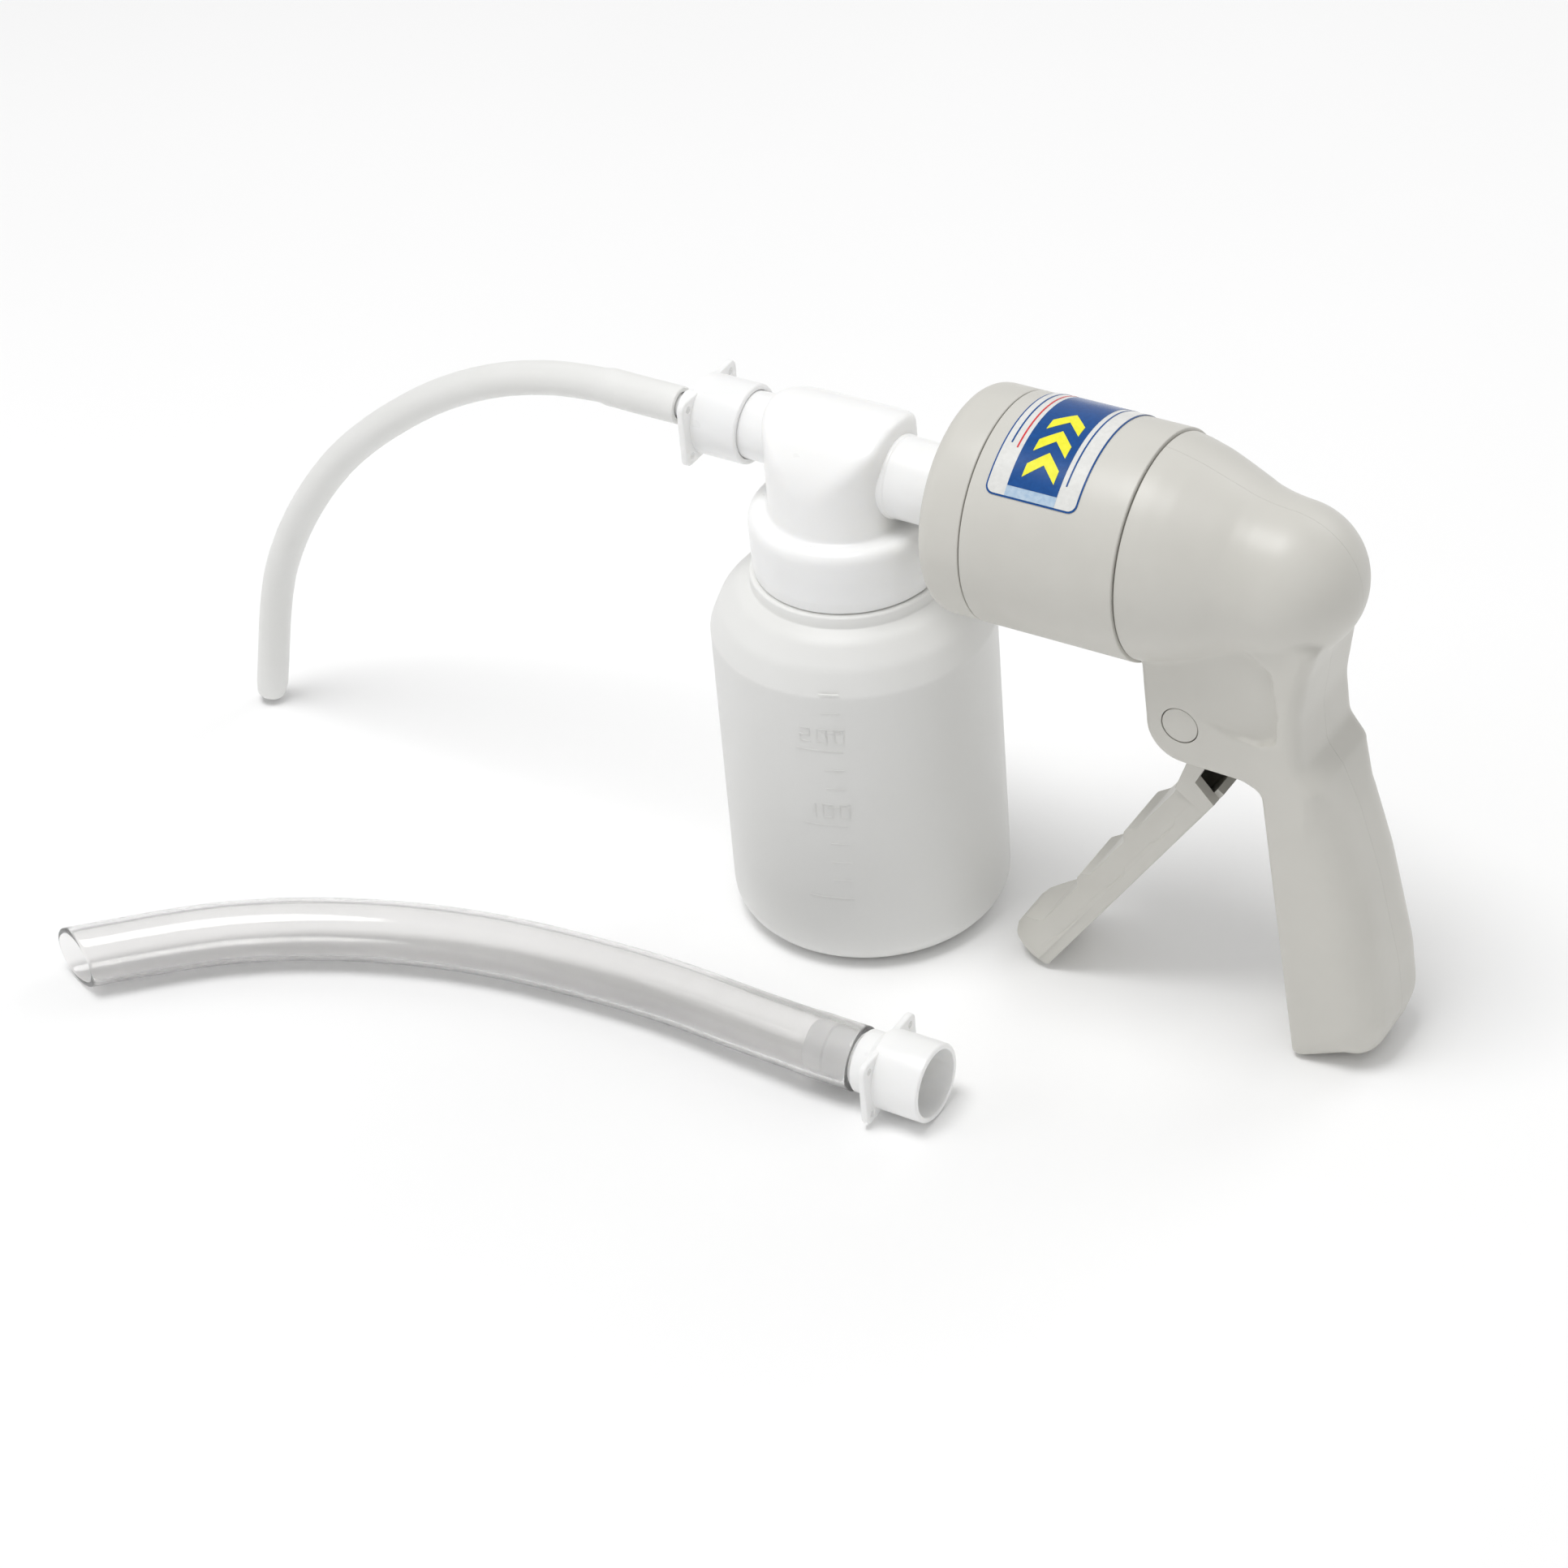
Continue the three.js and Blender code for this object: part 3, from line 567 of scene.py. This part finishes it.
# ---- Lid with its tee -----------------------------------------------------------------------
def lid():
    """Screw cap, arched turret, patient taper and pump port in one moulding."""
    crown_z, crown, turret_r, face_x = 129, 16.8, 19, 16.4
    column = turned("column", [(0, 112), (turret_r, 112), (turret_r, 147), (0, 147)], segments=160)
    half_round = arc(0, crown_z, turret_r, crown, 0, 180, 48)
    arch = slab("arch", [(turret_r, 100)] + half_round + [(-turret_r, 100)], -face_x, 30,
                place=Matrix.Rotation(math.radians(90), 4, "Z"))
    cut(column, [arch], "INTERSECT")
    melted(column, 0.8, 30)
    skirt_z, top_z = CAP_BOTTOM_Z + 8, 118.9
    cap = turned("cap", rounded([(0, skirt_z), (CAP_R, skirt_z), (CAP_R, top_z, 2.7), (0, top_z)], 8),
                 segments=160)
    whole = joined("lid_upper", [column, cap])
    melted(whole, 0.55, 9)
    skirt = turned("skirt", rounded([(0, CAP_BOTTOM_Z), (CAP_R - 0.5, CAP_BOTTOM_Z, 0.4),
                                     (CAP_R - 0.1, CAP_BOTTOM_Z + 3, 0.3),
                                     (CAP_R, CAP_BOTTOM_Z + 12), (0, CAP_BOTTOM_Z + 12)], 4),
                   segments=160)
    taper_r = 8.68
    taper = turned_x("taper", rounded([(0, TAPER_END_X), (8.5, TAPER_END_X, 0.5), (taper_r, -15, 0),
                                       (taper_r, 0, 0), (0, 0)]), z=TAPER_Z)
    root_r, port_r = 10.6, 10.3
    port = turned_x("port", rounded([(0, 4), (root_r, 4), (root_r, face_x + 0.8, 0.5),
                                     (port_r, face_x + 1.2, 0.3), (port_r, PORT_END_X, 0.5),
                                     (0, PORT_END_X)]))
    cut(whole, [skirt, taper, port], "UNION")
    taper_line = Matrix.Translation((0, 0, TAPER_Z)) @ ALONG_X
    port_line = Matrix.Translation((0, 0, AXIS_Z)) @ ALONG_X
    inlet_line = Matrix.Translation((-9, 0, 0))
    air_line = Matrix.Translation((10, 0, 0))
    cut(whole, [
        drill("neck_bore", 22, 99, 116),
        drill("taper_bore", 6.4, TAPER_END_X - 2, -6, taper_line),
        drill("port_bore", 8, 9, PORT_END_X + 2, port_line),
        drill("inlet_way", 4.4, 110, TAPER_Z, inlet_line),
        drill("spout_seat", 5.7, 110, 120, inlet_line),
        drill("air_way", 4.4, 110, AXIS_Z, air_line),
    ])
    place(whole, "canister_head", "white_plastic", "canister_lid")


# ---- Connectors -----------------------------------------------------------------------------
def connector(name, body, mouth, barb_r, bore_r, neck_r, barb_length):
    """Sleeve, flange plate with four holes, and barb; the mouth faces +X."""
    socket_r, sleeve_r, flange = 8.75, 10.2, -14.4
    end = flange - barb_length
    barb = [(barb_r - 0.2, end + 6, 0.2), (barb_r + 0.25, end + 5.5, 0.2), (barb_r - 0.4, end, 0.3)]
    profile = rounded([(socket_r, 0, 0.3), (sleeve_r, 0, 0.6), (sleeve_r, flange + 0.5),
                       (neck_r, flange - 1.6, 0.6), (neck_r, flange - 5.5, 0.3),
                       (barb_r, flange - 6, 0.2), *barb, (bore_r, end, 0.2), (bore_r, -12.6, 0.3),
                       (socket_r, -12, 0.4)], 5)
    sleeve = turned_x(name, profile, z=mouth.z, y=mouth.y, segments=112)
    sleeve.data.transform(Matrix.Translation((mouth.x * MM, 0, 0)))
    w, h, hollow, inset = 12.7, 9.3, 0.35, 2.7
    sides = [(w, h - 0.2, 2.2), (0, h - hollow, 14), (-w, h - 0.2, 2.2), (-w, 0.2 - h, 2.2),
             (0, hollow - h, 14), (w, 0.2 - h, 2.2)]
    turn = Matrix.Translation(mouth) @ Matrix.Rotation(math.radians(-90), 4, "Z")
    plate = slab(name + "_plate", rounded(sides, 7), flange, flange + 1.8, 0.45, turn)
    holes = []
    for sy in (-1, 1):
        for sz in (-1, 1):
            centre = mouth + Vector((flange + 1, sy * (w - inset), sz * (h - inset)))
            holes.append(drill(name + "_hole", 0.95, -4, 4, Matrix.Translation(centre) @ ALONG_X, 24))
    middle = drill(name + "_middle", 9.8, -4, 4,
                   Matrix.Translation(mouth + Vector((flange + 1, 0, 0))) @ ALONG_X, 96)
    cut(plate, holes + [middle])
    cut(sleeve, [plate], "UNION")
    place(sleeve, body, "white_plastic", name)


# ---- Catheters ------------------------------------------------------------------------------
SMALL_ROUTE = [
    (-45.7, 0, TAPER_Z),
    (-58, 0, TAPER_Z),
    (-69, 0, TAPER_Z),
    (-86, 0, 133),
    (-106, 0, 126.6),
    (-129, 0, 113.8),
    (-159.5, 0, 87.4),
    (-183.5, 0, 50),
    (-196, 0, 2.2),
]
LARGE_ROUTE = [
    (39.5, -73, 10.2),
    (32, -73, 10.2),
    (25, -73, 10.2),
    (8, -71.8, 9.4),
    (-24, -69.9, 8.4),
    (-71.5, -74.4, 8.4),
    (-107.5, -85.1, 8.4),
    (-136, -100.5, 8.4),
    (-170, -130, 8.4),
]


def route_length(route):
    """The length of a line through the points."""
    return sum((b - a).length for a, b in zip(route, route[1:]))


def small_catheter():
    """Wider over its barb, then plain to a rounded tip."""
    route = smooth_route(SMALL_ROUTE)
    total = route_length(route)
    sleeve_r, tube_r = 4.8, 4.4
    profile = rounded([(3.5, 0, 0.2), (sleeve_r, 0, 0.4), (sleeve_r, 21, 1.5), (tube_r, 23.5, 1.5),
                       (tube_r, total - 4, 6),
                       (3.9, total, 1.1), (2.5, total, 0.8), (3.4, total - 4, 3)], 6)
    tube = tube_along("small_catheter_tube", route, dense(profile, 2.2), Vector((0, 1, 0)))
    place(tube, "patient_end", "milky_tube", "small_catheter")


def large_catheter():
    """Wide and clear, with its tip cut on a slant."""
    tip = Vector((-164, -128, 8.4))
    slant = math.radians(68)
    face = Vector((math.cos(slant), math.sin(slant), 0))
    route = [p for p in smooth_route(LARGE_ROUTE) if (p - tip).dot(face) > 0]
    total = route_length(route)
    sleeve_r, tube_r, sleeve_bore, tube_bore = 8.4, 8.2, 6.9, 6.8
    profile = rounded([(sleeve_bore, 0, 0.25), (sleeve_r, 0, 0.45), (sleeve_r, 13.5, 2), (tube_r, 17, 2),
                       (tube_r, total, 0.75), (tube_bore, total, 0.4), (tube_bore, 18, 2),
                       (sleeve_bore, 14, 2)], 6)
    tube = tube_along("large_catheter_tube", route, dense(profile, 2.2), Vector((0, 0, 1)), slant=face)
    place(tube, "spare_catheter", "clear_tube", "large_catheter")


# ---- Pump front end -------------------------------------------------------------------------
def front_cap():
    """The cap with its port socket, spigot, and the inlet valve's plate with six ways."""
    socket_r, lip_r, spigot_r, groove_r, bore_r = 10.6, 12.3, 25.2, 23.6, 22.2
    outside = [(socket_r, FRONT_X, 0.4), (BARREL_R, FRONT_X, 4.5), (BARREL_R, SEAM_1_X, 0.35)]
    spigot = [(spigot_r, SEAM_1_X), (spigot_r, 50.3), (groove_r, 50.3), (groove_r, 52.5),
              (spigot_r, 52.5), (spigot_r, 54), (bore_r, 54), (bore_r, 42.5)]
    valve_plate = [(15, 42.5), (15, 51.5), (1.8, 51.5), (1.8, 49), (8.6, 49), (8.6, 47)]
    socket = [(socket_r, 47), (socket_r, 44), (lip_r, 44), (lip_r, 41.4), (socket_r, 41.4)]
    cap = turned_x("front_cap_shell", rounded(outside + spigot + valve_plate + socket, 8), segments=160)
    ring_r = 5.2
    ways = []
    for k in range(6):
        a = k * math.pi / 3
        centre = (0, ring_r * math.cos(a), AXIS_Z + ring_r * math.sin(a))
        ways.append(drill("way", 1.5, 46, 54, Matrix.Translation(centre) @ ALONG_X, 24))
    cut(cap, ways)
    place(cap, "pump", "casing", "front_cap")


def barrel():
    """A plain tube between the two seams, its outer edges slightly rounded."""
    x0, x1, bore_r = BARREL_LOW.x, BARREL_HIGH.x, 25.6
    profile = rounded([(bore_r, x0), (BARREL_R, x0, 0.35), (BARREL_R, x1, 0.35), (bore_r, x1)], 5)
    tube = turned_x("barrel_shell", profile, segments=200)
    place(tube, "pump", "casing", "barrel")


# ---- Label: a film with a band, a mark and thin rules, and no words ---------------------------
FILM_GAP = 0.12
FILM_THICKNESS = 0.06
WIDEST_STEP = 3


def on_barrel(name, outline, lift, look, replaces=()):
    """A closed [x, degrees] outline laid on the barrel as thin film."""
    bm = bmesh.new()
    face = bm.faces.new([bm.verts.new((x, deg, 0)) for x, deg in outline])
    bmesh.ops.triangulate(bm, faces=[face])
    for _ in range(5):
        spread = [e for e in bm.edges if abs(e.verts[0].co.y - e.verts[1].co.y) > WIDEST_STEP]
        if not spread:
            break
        bmesh.ops.subdivide_edges(bm, edges=spread, cuts=1)
        bmesh.ops.triangulate(bm, faces=[f for f in bm.faces if len(f.verts) > 3])
    grown = bmesh.ops.extrude_face_region(bm, geom=bm.faces[:])["geom"]
    outer = {g for g in grown if isinstance(g, bmesh.types.BMVert)}
    for v in bm.verts:
        r = BARREL_R + FILM_GAP + lift + (FILM_THICKNESS if v in outer else 0)
        t = math.radians(v.co.y)
        v.co = Vector((v.co.x, -r * math.cos(t), AXIS_Z + r * math.sin(t)))
    return place(made(name, bm), "pump", "label_film", *replaces, look=look)


def label():
    """A bordered panel in barrel x and degrees; each layer lies a little above the one below."""
    x0, x1, low, high = 52.8, 76.8, 39.8, 139
    film_lift, print_lift, mark_lift = 0.07, 0.14, 0.21
    blue = ink("blue_ink", (0.002, 0.06, 0.24), (0.004, 0.075, 0.29))
    pale = ink("pale_ink", (0.36, 0.5, 0.66), (0.5, 0.62, 0.74))
    yellow = ink("yellow_ink", (0.83, 0.8, 0.03), (0.9, 0.87, 0.05))
    red = ink("red_ink", (0.62, 0.03, 0.04), (0.7, 0.04, 0.05))

    def panel(a, b, p, q, corner):
        """A rounded rectangle from x a to b and from p to q degrees."""
        tall = corner / BARREL_R * 180 / math.pi
        quarter = [(a + corner, p + tall, 180), (b - corner, p + tall, 270),
                   (b - corner, q - tall, 0), (a + corner, q - tall, 90)]
        return [pt for cx, cy, start in quarter for pt in arc(cx, cy, corner, tall, start, start + 90, 6)]

    def strip(a, b, p, q):
        """A plain rectangle, its long sides divided to follow the barrel."""
        count = max(2, round((q - p) / WIDEST_STEP))
        rise = [(b, p + (q - p) * k / count) for k in range(count + 1)]
        return rise + [(a, y) for _, y in reversed(rise)]

    on_barrel("label_border", panel(x0, x1, low, high, 2.2), 0.0, blue, ["label"])
    inner = panel(x0 + 0.4, x1 - 0.4, low + 0.9, high - 0.9, 1.9)
    on_barrel("label_film", inner, film_lift, LOOKS["label_film"])
    band_0, band_1 = 58.1, 71.2
    on_barrel("label_band", strip(band_0, band_1, low + 6, high - 0.9), print_lift, blue)
    on_barrel("label_band_foot", strip(band_0, band_1, low + 0.9, low + 5.9), print_lift, pale)
    on_barrel("label_rule_red", strip(56.6, 57, low + 25, high - 2), print_lift, red)
    on_barrel("label_rule_left", strip(54.7, 55.1, low + 27, high - 4), print_lift, blue)
    on_barrel("label_rule_right", strip(72.4, 72.8, low + 12, high - 2), print_lift, blue)
    middle = (band_0 + band_1) / 2 + 0.5
    first, pitch, leg_width = 51, 14, 7
    for n in range(3):
        foot = first + n * pitch
        point = foot + 8
        for side, word in ((-1, "left"), (1, "right")):
            tail = middle + side * 4.2
            leg = [(middle, point), (tail, foot), (tail, foot + leg_width), (middle, point + leg_width)]
            on_barrel(f"label_chevron_{n + 1}_{word}", leg, mark_lift, yellow)


# ---- Rear housing ---------------------------------------------------------------------------
HANDLE = rounded([
    (87.8, 119), (89.4, 92), *arc(99.6, 90.3, 10.2, 10.2, 185, 268, 10), (115, 79.6, 6), (119.6, 77.6, 3),
    (127.3, 0, 1.6), (147, 2.2, 7), (150.6, 13, 14), (149.4, 27, 30), (144, 53.6, 30), (139, 71, 25),
    (134.6, 81.6, 5), (130.3, 87.4, 4), (129.4, 99, 20), (131.6, 113, 20), (134, 121), (126, 131),
    (100, 131),
], 6)
WALL = 2.5
GRIP_HOLLOW = [(130, 3.4), (140.5, 6), (143.8, 13), (142.5, 32), (137.5, 55), (132.6, 70), (128, 81),
               (125.4, 90), (121, 90), (121.4, 83), (122.4, 77)]
LUG_HOLLOW = [(88, 128), (88, 101.5), (91.8, 101.5), (91.8, 91), (95.6, 83.8), (95.6, 70), (119, 70),
              (119, 80), (122.6, 84), (125.9, 88), (125.9, 128)]
SCREWS = [(136.5, 17), (131.5, 52), (121.5, 104), (128.5, 133)]
DOME = [(27.8, 89.1), (27.3, 92.5), (25.9, 98), (24.1, 103), (22.2, 108), (20.6, 112), (19.6, 116),
        (19, 120.5)]


def handle_radius(x, z):
    """How far the handle's edges are rounded: softly behind, tighter in front."""
    palm, back, front = 9.5, 3.5, 2.4
    if x <= 132 - 0.08 * z or z <= 1:
        return front
    return palm if z < 78 else back


def soft_handle():
    """The handle's outline as a slab whose edge radius changes along the outline."""
    outline = [Vector(p) for p in dense(HANDLE, 1.6)]
    count = len(outline)
    area = sum(a.x * b.y - b.x * a.y for a, b in zip(outline, outline[1:] + outline[:1]))
    radii = [handle_radius(*p) for p in outline]
    radii = [sum(radii[(i + k) % count] for k in range(-3, 4)) / 7 for i in range(count)]
    inward = []
    for i in range(count):
        along = sum((outline[(i + k) % count] - outline[i - k] for k in (1, 2)), Vector((0, 0)))
        inward.append(Vector((-along.y, along.x)).normalized() * (1 if area > 0 else -1))
    rings = []
    for side in (-1, 1):
        angles = [math.radians(15 * k) for k in range(7)]
        for a in angles[::-1] if side < 0 else angles:
            ring = []
            for p, n, r in zip(outline, inward, radii):
                q = p + n * r * (1 - math.cos(a))
                ring.append((q.x, side * (HANDLE_HALF_WIDTH - r * (1 - math.sin(a))), q.y))
            rings.append(ring)
    bm = skinned(rings, False)
    bm.verts.ensure_lookup_table()
    bm.faces.new(bm.verts[:count])
    bm.faces.new(bm.verts[-count:])
    return made("handle", bm)


def thumb_hollow(side):
    """The shallow dish above the grip, deepest at its lower rear corner."""
    bm = bmesh.new()
    outline = [(103, 96, 0.0), (112, 92.8, 1.3), (120, 92.2, 2.4), (124, 93.8, 2.7), (124.6, 102, 2.6),
               (123, 114, 2.2), (116, 119, 1.2), (103, 116, 0.0)]
    rows = [[(x, side * (HANDLE_HALF_WIDTH - d), z), (x, side * 22, z)] for x, z, d in outline]
    inner = [bm.verts.new(r[0]) for r in rows]
    outer = [bm.verts.new(r[1]) for r in rows]
    bm.faces.new(inner)
    bm.faces.new(outer[::-1])
    for i in range(len(rows)):
        j = (i + 1) % len(rows)
        bm.faces.new((inner[i], inner[j], outer[j], outer[i]))
    bmesh.ops.triangulate(bm, faces=bm.faces)
    return made("thumb_hollow", bm)


def housing():
    """Dome and handle as one soft skin, hollowed, and split into its two halves."""
    bulb = arc(0, DOME[-1][1], DOME[-1][0], 19, 0, 90, 16)[1:-1]
    profile = [(0, 84), (28.2, 84)] + DOME + bulb + [(0, 139.5)]
    dome = turned_x("dome", profile, segments=128)
    handle = soft_handle()
    cut(handle, [thumb_hollow(-1), thumb_hollow(1)])
    shell = joined("housing", [dome, handle])
    melted(shell, 0.7, 8)
    grip_half, lug_half = HANDLE_HALF_WIDTH - WALL, 12.2
    follows_dome = [(r - WALL, x) for r, x in DOME[1:]]
    inner_dome = [(0, 80), (25.3, 80)] + follows_dome + [(15.3, 126), (11.3, 132), (5, 136), (0, 136.8)]
    lead = [(0, 70), (45, 70), (45, 89.5), (27.9, 89.5), (27.5, SEAM_2_X), (0, SEAM_2_X)]
    tools = [turned_x("lead", lead), turned_x("inner_dome", inner_dome, segments=96),
             slab("grip_hollow", GRIP_HOLLOW, -grip_half, grip_half),
             slab("lug_hollow", LUG_HOLLOW, -lug_half, lug_half)]
    for side in (-1, 1):
        seat = sorted((side * 13.9, side * 20))
        tools.append(rod_y("cap_seat", 4.95, *seat, PIVOT.x, PIVOT.z))
    tools.append(rod_y("pin_bore", 3.3, -14.5, 14.5, PIVOT.x, PIVOT.z))
    for x, z in SCREWS:
        tools.append(rod_y("screw_head", 3.1, 9.5, 30, x, z))
    cut(shell, tools)
    for side, node in ((-1, "housing_near"), (1, "housing_far")):
        half = copy_of(shell, node + "_shell")
        y0, y1 = sorted((side * 0.02, side * 60))
        cut(half, [block("keep", (60, y0, -30), (200, y1, 200))], "INTERSECT")
        place(half, "pump", "casing", node)
    bpy.data.objects.remove(shell)


def pivot_caps():
    """Flush discs over the two ends of the pivot pin."""
    for node, y0, y1 in (("pivot_cap_near", -15.45, -14.2), ("pivot_cap_far", 14.2, 15.45)):
        cap = rod_y(node + "_disc", 4.68, y0, y1, PIVOT.x, PIVOT.z, edge=0.22, segments=96)
        place(cap, "pump", "casing", node)


# ---- Trigger --------------------------------------------------------------------------------
# In the lever's own frame, X runs up its length and Z points out of its front.
LEVER = Matrix.Translation((60.8, 0, 23.7)) @ Matrix.Rotation(math.radians(-54), 4, "Y")
LEVER_HALF_WIDTH = 11.5
LEVER_DEPTH = 10.6
LEVER_WALL = 3
RIDGES = (8.7, 31.9)


def finger_scoop(start, end, side):
    """A half-moon dish where a finger wraps round the lever's side."""
    outline = rounded([(start, 8), (start, -2.5, 3), (start + 4, -7, 3), (end - 6, -7.5, 4),
                       (end + 3, 8)], 5)
    y0, y1 = sorted((side * (LEVER_HALF_WIDTH - 0.45), side * (LEVER_HALF_WIDTH + 3)))
    return slab("scoop", outline, y0, y1, 0.3, LEVER)


def trigger():
    """The lever with its nose, finger grooves and hollow back, and the two arms up to the pin."""
    half, depth, inner_half = LEVER_HALF_WIDTH, LEVER_DEPTH, LEVER_HALF_WIDTH - LEVER_WALL
    ridges = [p for u in RIDGES for p in ((u - 2.2, -1.8, 0.8), (u - 0.8, -0.1, 0.8),
                                          (u + 1, -0.1, 0.9), (u + 4, -1.8, 2.5))]
    outline = rounded([(-20.2, -depth, 1.2), (-22.8, 0.6, 1.5), (-21, 2.2, 1.2), (-17.5, 1.8, 2),
                       (-11, -1.8, 3), *ridges, (54, -1.8, 1), (64, 0.8, 1), (76, 4), (84, -4),
                       (72, -6), (67, -depth, 0.6)], 5)
    lever = slab("trigger_lever", outline, -half, half, 0.5, LEVER)
    nose_depth, top = 14, 58
    section = [(-half, -30)] + arc(0, 4.2 - nose_depth, half, nose_depth, 180, 0, 40) + [(half, -30)]
    # Swaps X and Y. This also turns the nose's faces inwards, a known fault.
    crosswise = Matrix(((0, 1, 0, 0), (1, 0, 0, 0), (0, 0, 1, 0), (0, 0, 0, 1)))
    nose = slab("nose", section, -40, top, place=LEVER @ crosswise)
    shoulder = [(top - 0.5, -30), (100, -30), (100, 30), (top - 0.5, 30)]
    cut(nose, [slab("shoulder", shoulder, -half, half, place=LEVER)], "UNION")
    cut(lever, [nose], "INTERSECT")
    hollow = [(-17, 2 - depth), (-16.2, -3.2), (66, -2.9), (69, -1.5), (95, 20), (95, -40), (64, -40),
              (64, 2 - depth)]
    cut(lever, [slab("lever_hollow", hollow, -inner_half, inner_half, place=LEVER)])
    window = [(61.5, -depth - 2), (63.5, -3.4), (70, -2.5), (90, -10), (90, -20)]
    cut(lever, [slab("window", window, -20, 0.1 - inner_half, place=LEVER)])
    grooves = [(-15, RIDGES[0] - 1), (RIDGES[0] + 2, RIDGES[1] - 1), (RIDGES[1] + 2, 55)]
    cut(lever, [finger_scoop(a, b, side) for a, b in grooves for side in (-1, 1)])
    swing = Matrix.Translation(PIVOT) @ Matrix.Rotation(math.atan2(13.6, AXIS_Z - PIVOT.z), 4, "Y")
    arm = [(-6, 0), (6, 0), (3.6, 9), (3.6, 34), (5, 38), (5, 47), (-5, 47), (-5, 38), (-3.6, 34),
           (-3.6, 9)]
    for y0, y1 in ((-half, -inner_half), (inner_half, half)):
        limb = slab("arm", rounded([(*p, 1) for p in arm]), y0, y1, 0.4, swing)
        hub = rod_y("hub", 6.2, y0, y1, PIVOT.x, PIVOT.z, edge=0.3)
        cut(lever, [limb, hub], "UNION")
    slot = rounded([(-2.7, 37, 1), (2.7, 37, 1), (2.7, 45, 1), (-2.7, 45, 1)])
    cut(lever, [slab("slot", slot, -20, 20, place=swing), rod_y("bore", 4.3, -20, 20, PIVOT.x, PIVOT.z)])
    place(lever, "trigger", "casing", "trigger")


# ---- CAD nodes that stay ----------------------------------------------------------------------
def dress_cad_nodes():
    """Gives the pieces that keep their CAD shape their materials."""
    slots = {
        "silicone": ["lid_gasket", "inlet_valve_disc", "exhaust_valve_disc"],
        "white_plastic": ["inlet_spout"],
        "black_rubber": ["port_seal_ring", "barrel_o_ring", "piston_seal"],
        "acetal": ["inlet_valve_retainer", "piston", "trigger_bush_near", "trigger_bush_far"],
        "steel": ["piston_rod", "exhaust_valve_stop", "drive_pin", "return_spring", "pivot_pin"]
        + [f"housing_screw_{n}" for n in range(1, 5)],
    }
    for slot, nodes in slots.items():
        for node in nodes:
            wear(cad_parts[node], LOOKS[slot])


# ---- Stage, light and camera ------------------------------------------------------------------
def stage():
    """A wide pale floor just under the object."""
    half_width, drop = 4000, 0.3
    bm = bmesh.new()
    bmesh.ops.create_grid(bm, x_segments=8, y_segments=8, size=half_width)
    floor = made("floor", bm, Matrix.Translation((0, 0, -drop)))
    wear(floor, floor_paper())


def area_light(name, position, look_at, size, power):
    """A white disc of light, in metres and watts, that faces a point."""
    lamp = bpy.data.lights.new(name, "AREA")
    lamp.shape = "DISK"
    lamp.size = size
    lamp.energy = power
    obj = bpy.data.objects.new(name, lamp)
    obj.location = position
    obj.rotation_euler = (Vector(look_at) - Vector(position)).to_track_quat("-Z", "Y").to_euler()
    bpy.context.scene.collection.objects.link(obj)


def lights():
    """An even white studio, with a soft light overhead and weaker ones beside and behind."""
    world = bpy.data.worlds.new("studio")
    world.use_nodes = True
    surroundings = world.node_tree.nodes["Background"]
    surroundings.inputs["Color"].default_value = (1, 1, 1, 1)
    surroundings.inputs["Strength"].default_value = 0.54
    bpy.context.scene.world = world
    bpy.context.scene.view_settings.view_transform = "Standard"
    middle = (0.02, -0.02, 0.07)
    area_light("key", (-0.15, -0.32, 1.75), middle, 0.8, 15)
    area_light("fill", (-1.2, -0.9, 0.9), middle, 1.0, 2)
    area_light("rim", (0.5, 1.2, 1.1), middle, 0.9, 3)


def camera():
    """Looks down from the front right, with a slight roll."""
    azimuth, elevation, roll = [math.radians(v) for v in (34.15, 36.5, -5.23)]
    target = Vector((-0.00264, -0.03385, 0.0545))
    distance = 1.114
    level = math.cos(elevation)
    back = Vector((math.sin(azimuth) * level, -math.cos(azimuth) * level, math.sin(elevation)))
    right = Vector((math.cos(azimuth), math.sin(azimuth), 0))
    turn = Matrix((right, back.cross(right), back)).transposed() @ Matrix.Rotation(roll, 3, "Z")
    lens = bpy.data.cameras.new("camera")
    lens.lens = 102.5
    lens.sensor_width = 36
    obj = bpy.data.objects.new("camera", lens)
    obj.matrix_world = Matrix.Translation(target + back * distance) @ turn.to_4x4()
    bpy.context.scene.collection.objects.link(obj)
    bpy.context.scene.camera = obj


camera()
small_catheter()
large_catheter()
bottle()
lid()
connector("patient_connector", "patient_end", PATIENT_MOUTH,
          barb_r=2.9, bore_r=2, neck_r=4.6, barb_length=30)
connector("large_connector", "spare_catheter", LOOSE_MOUTH,
          barb_r=6.5, bore_r=5.4, neck_r=8.1, barb_length=20)
front_cap()
barrel()
label()
housing()
pivot_caps()
trigger()
dress_cad_nodes()
stage()
lights()
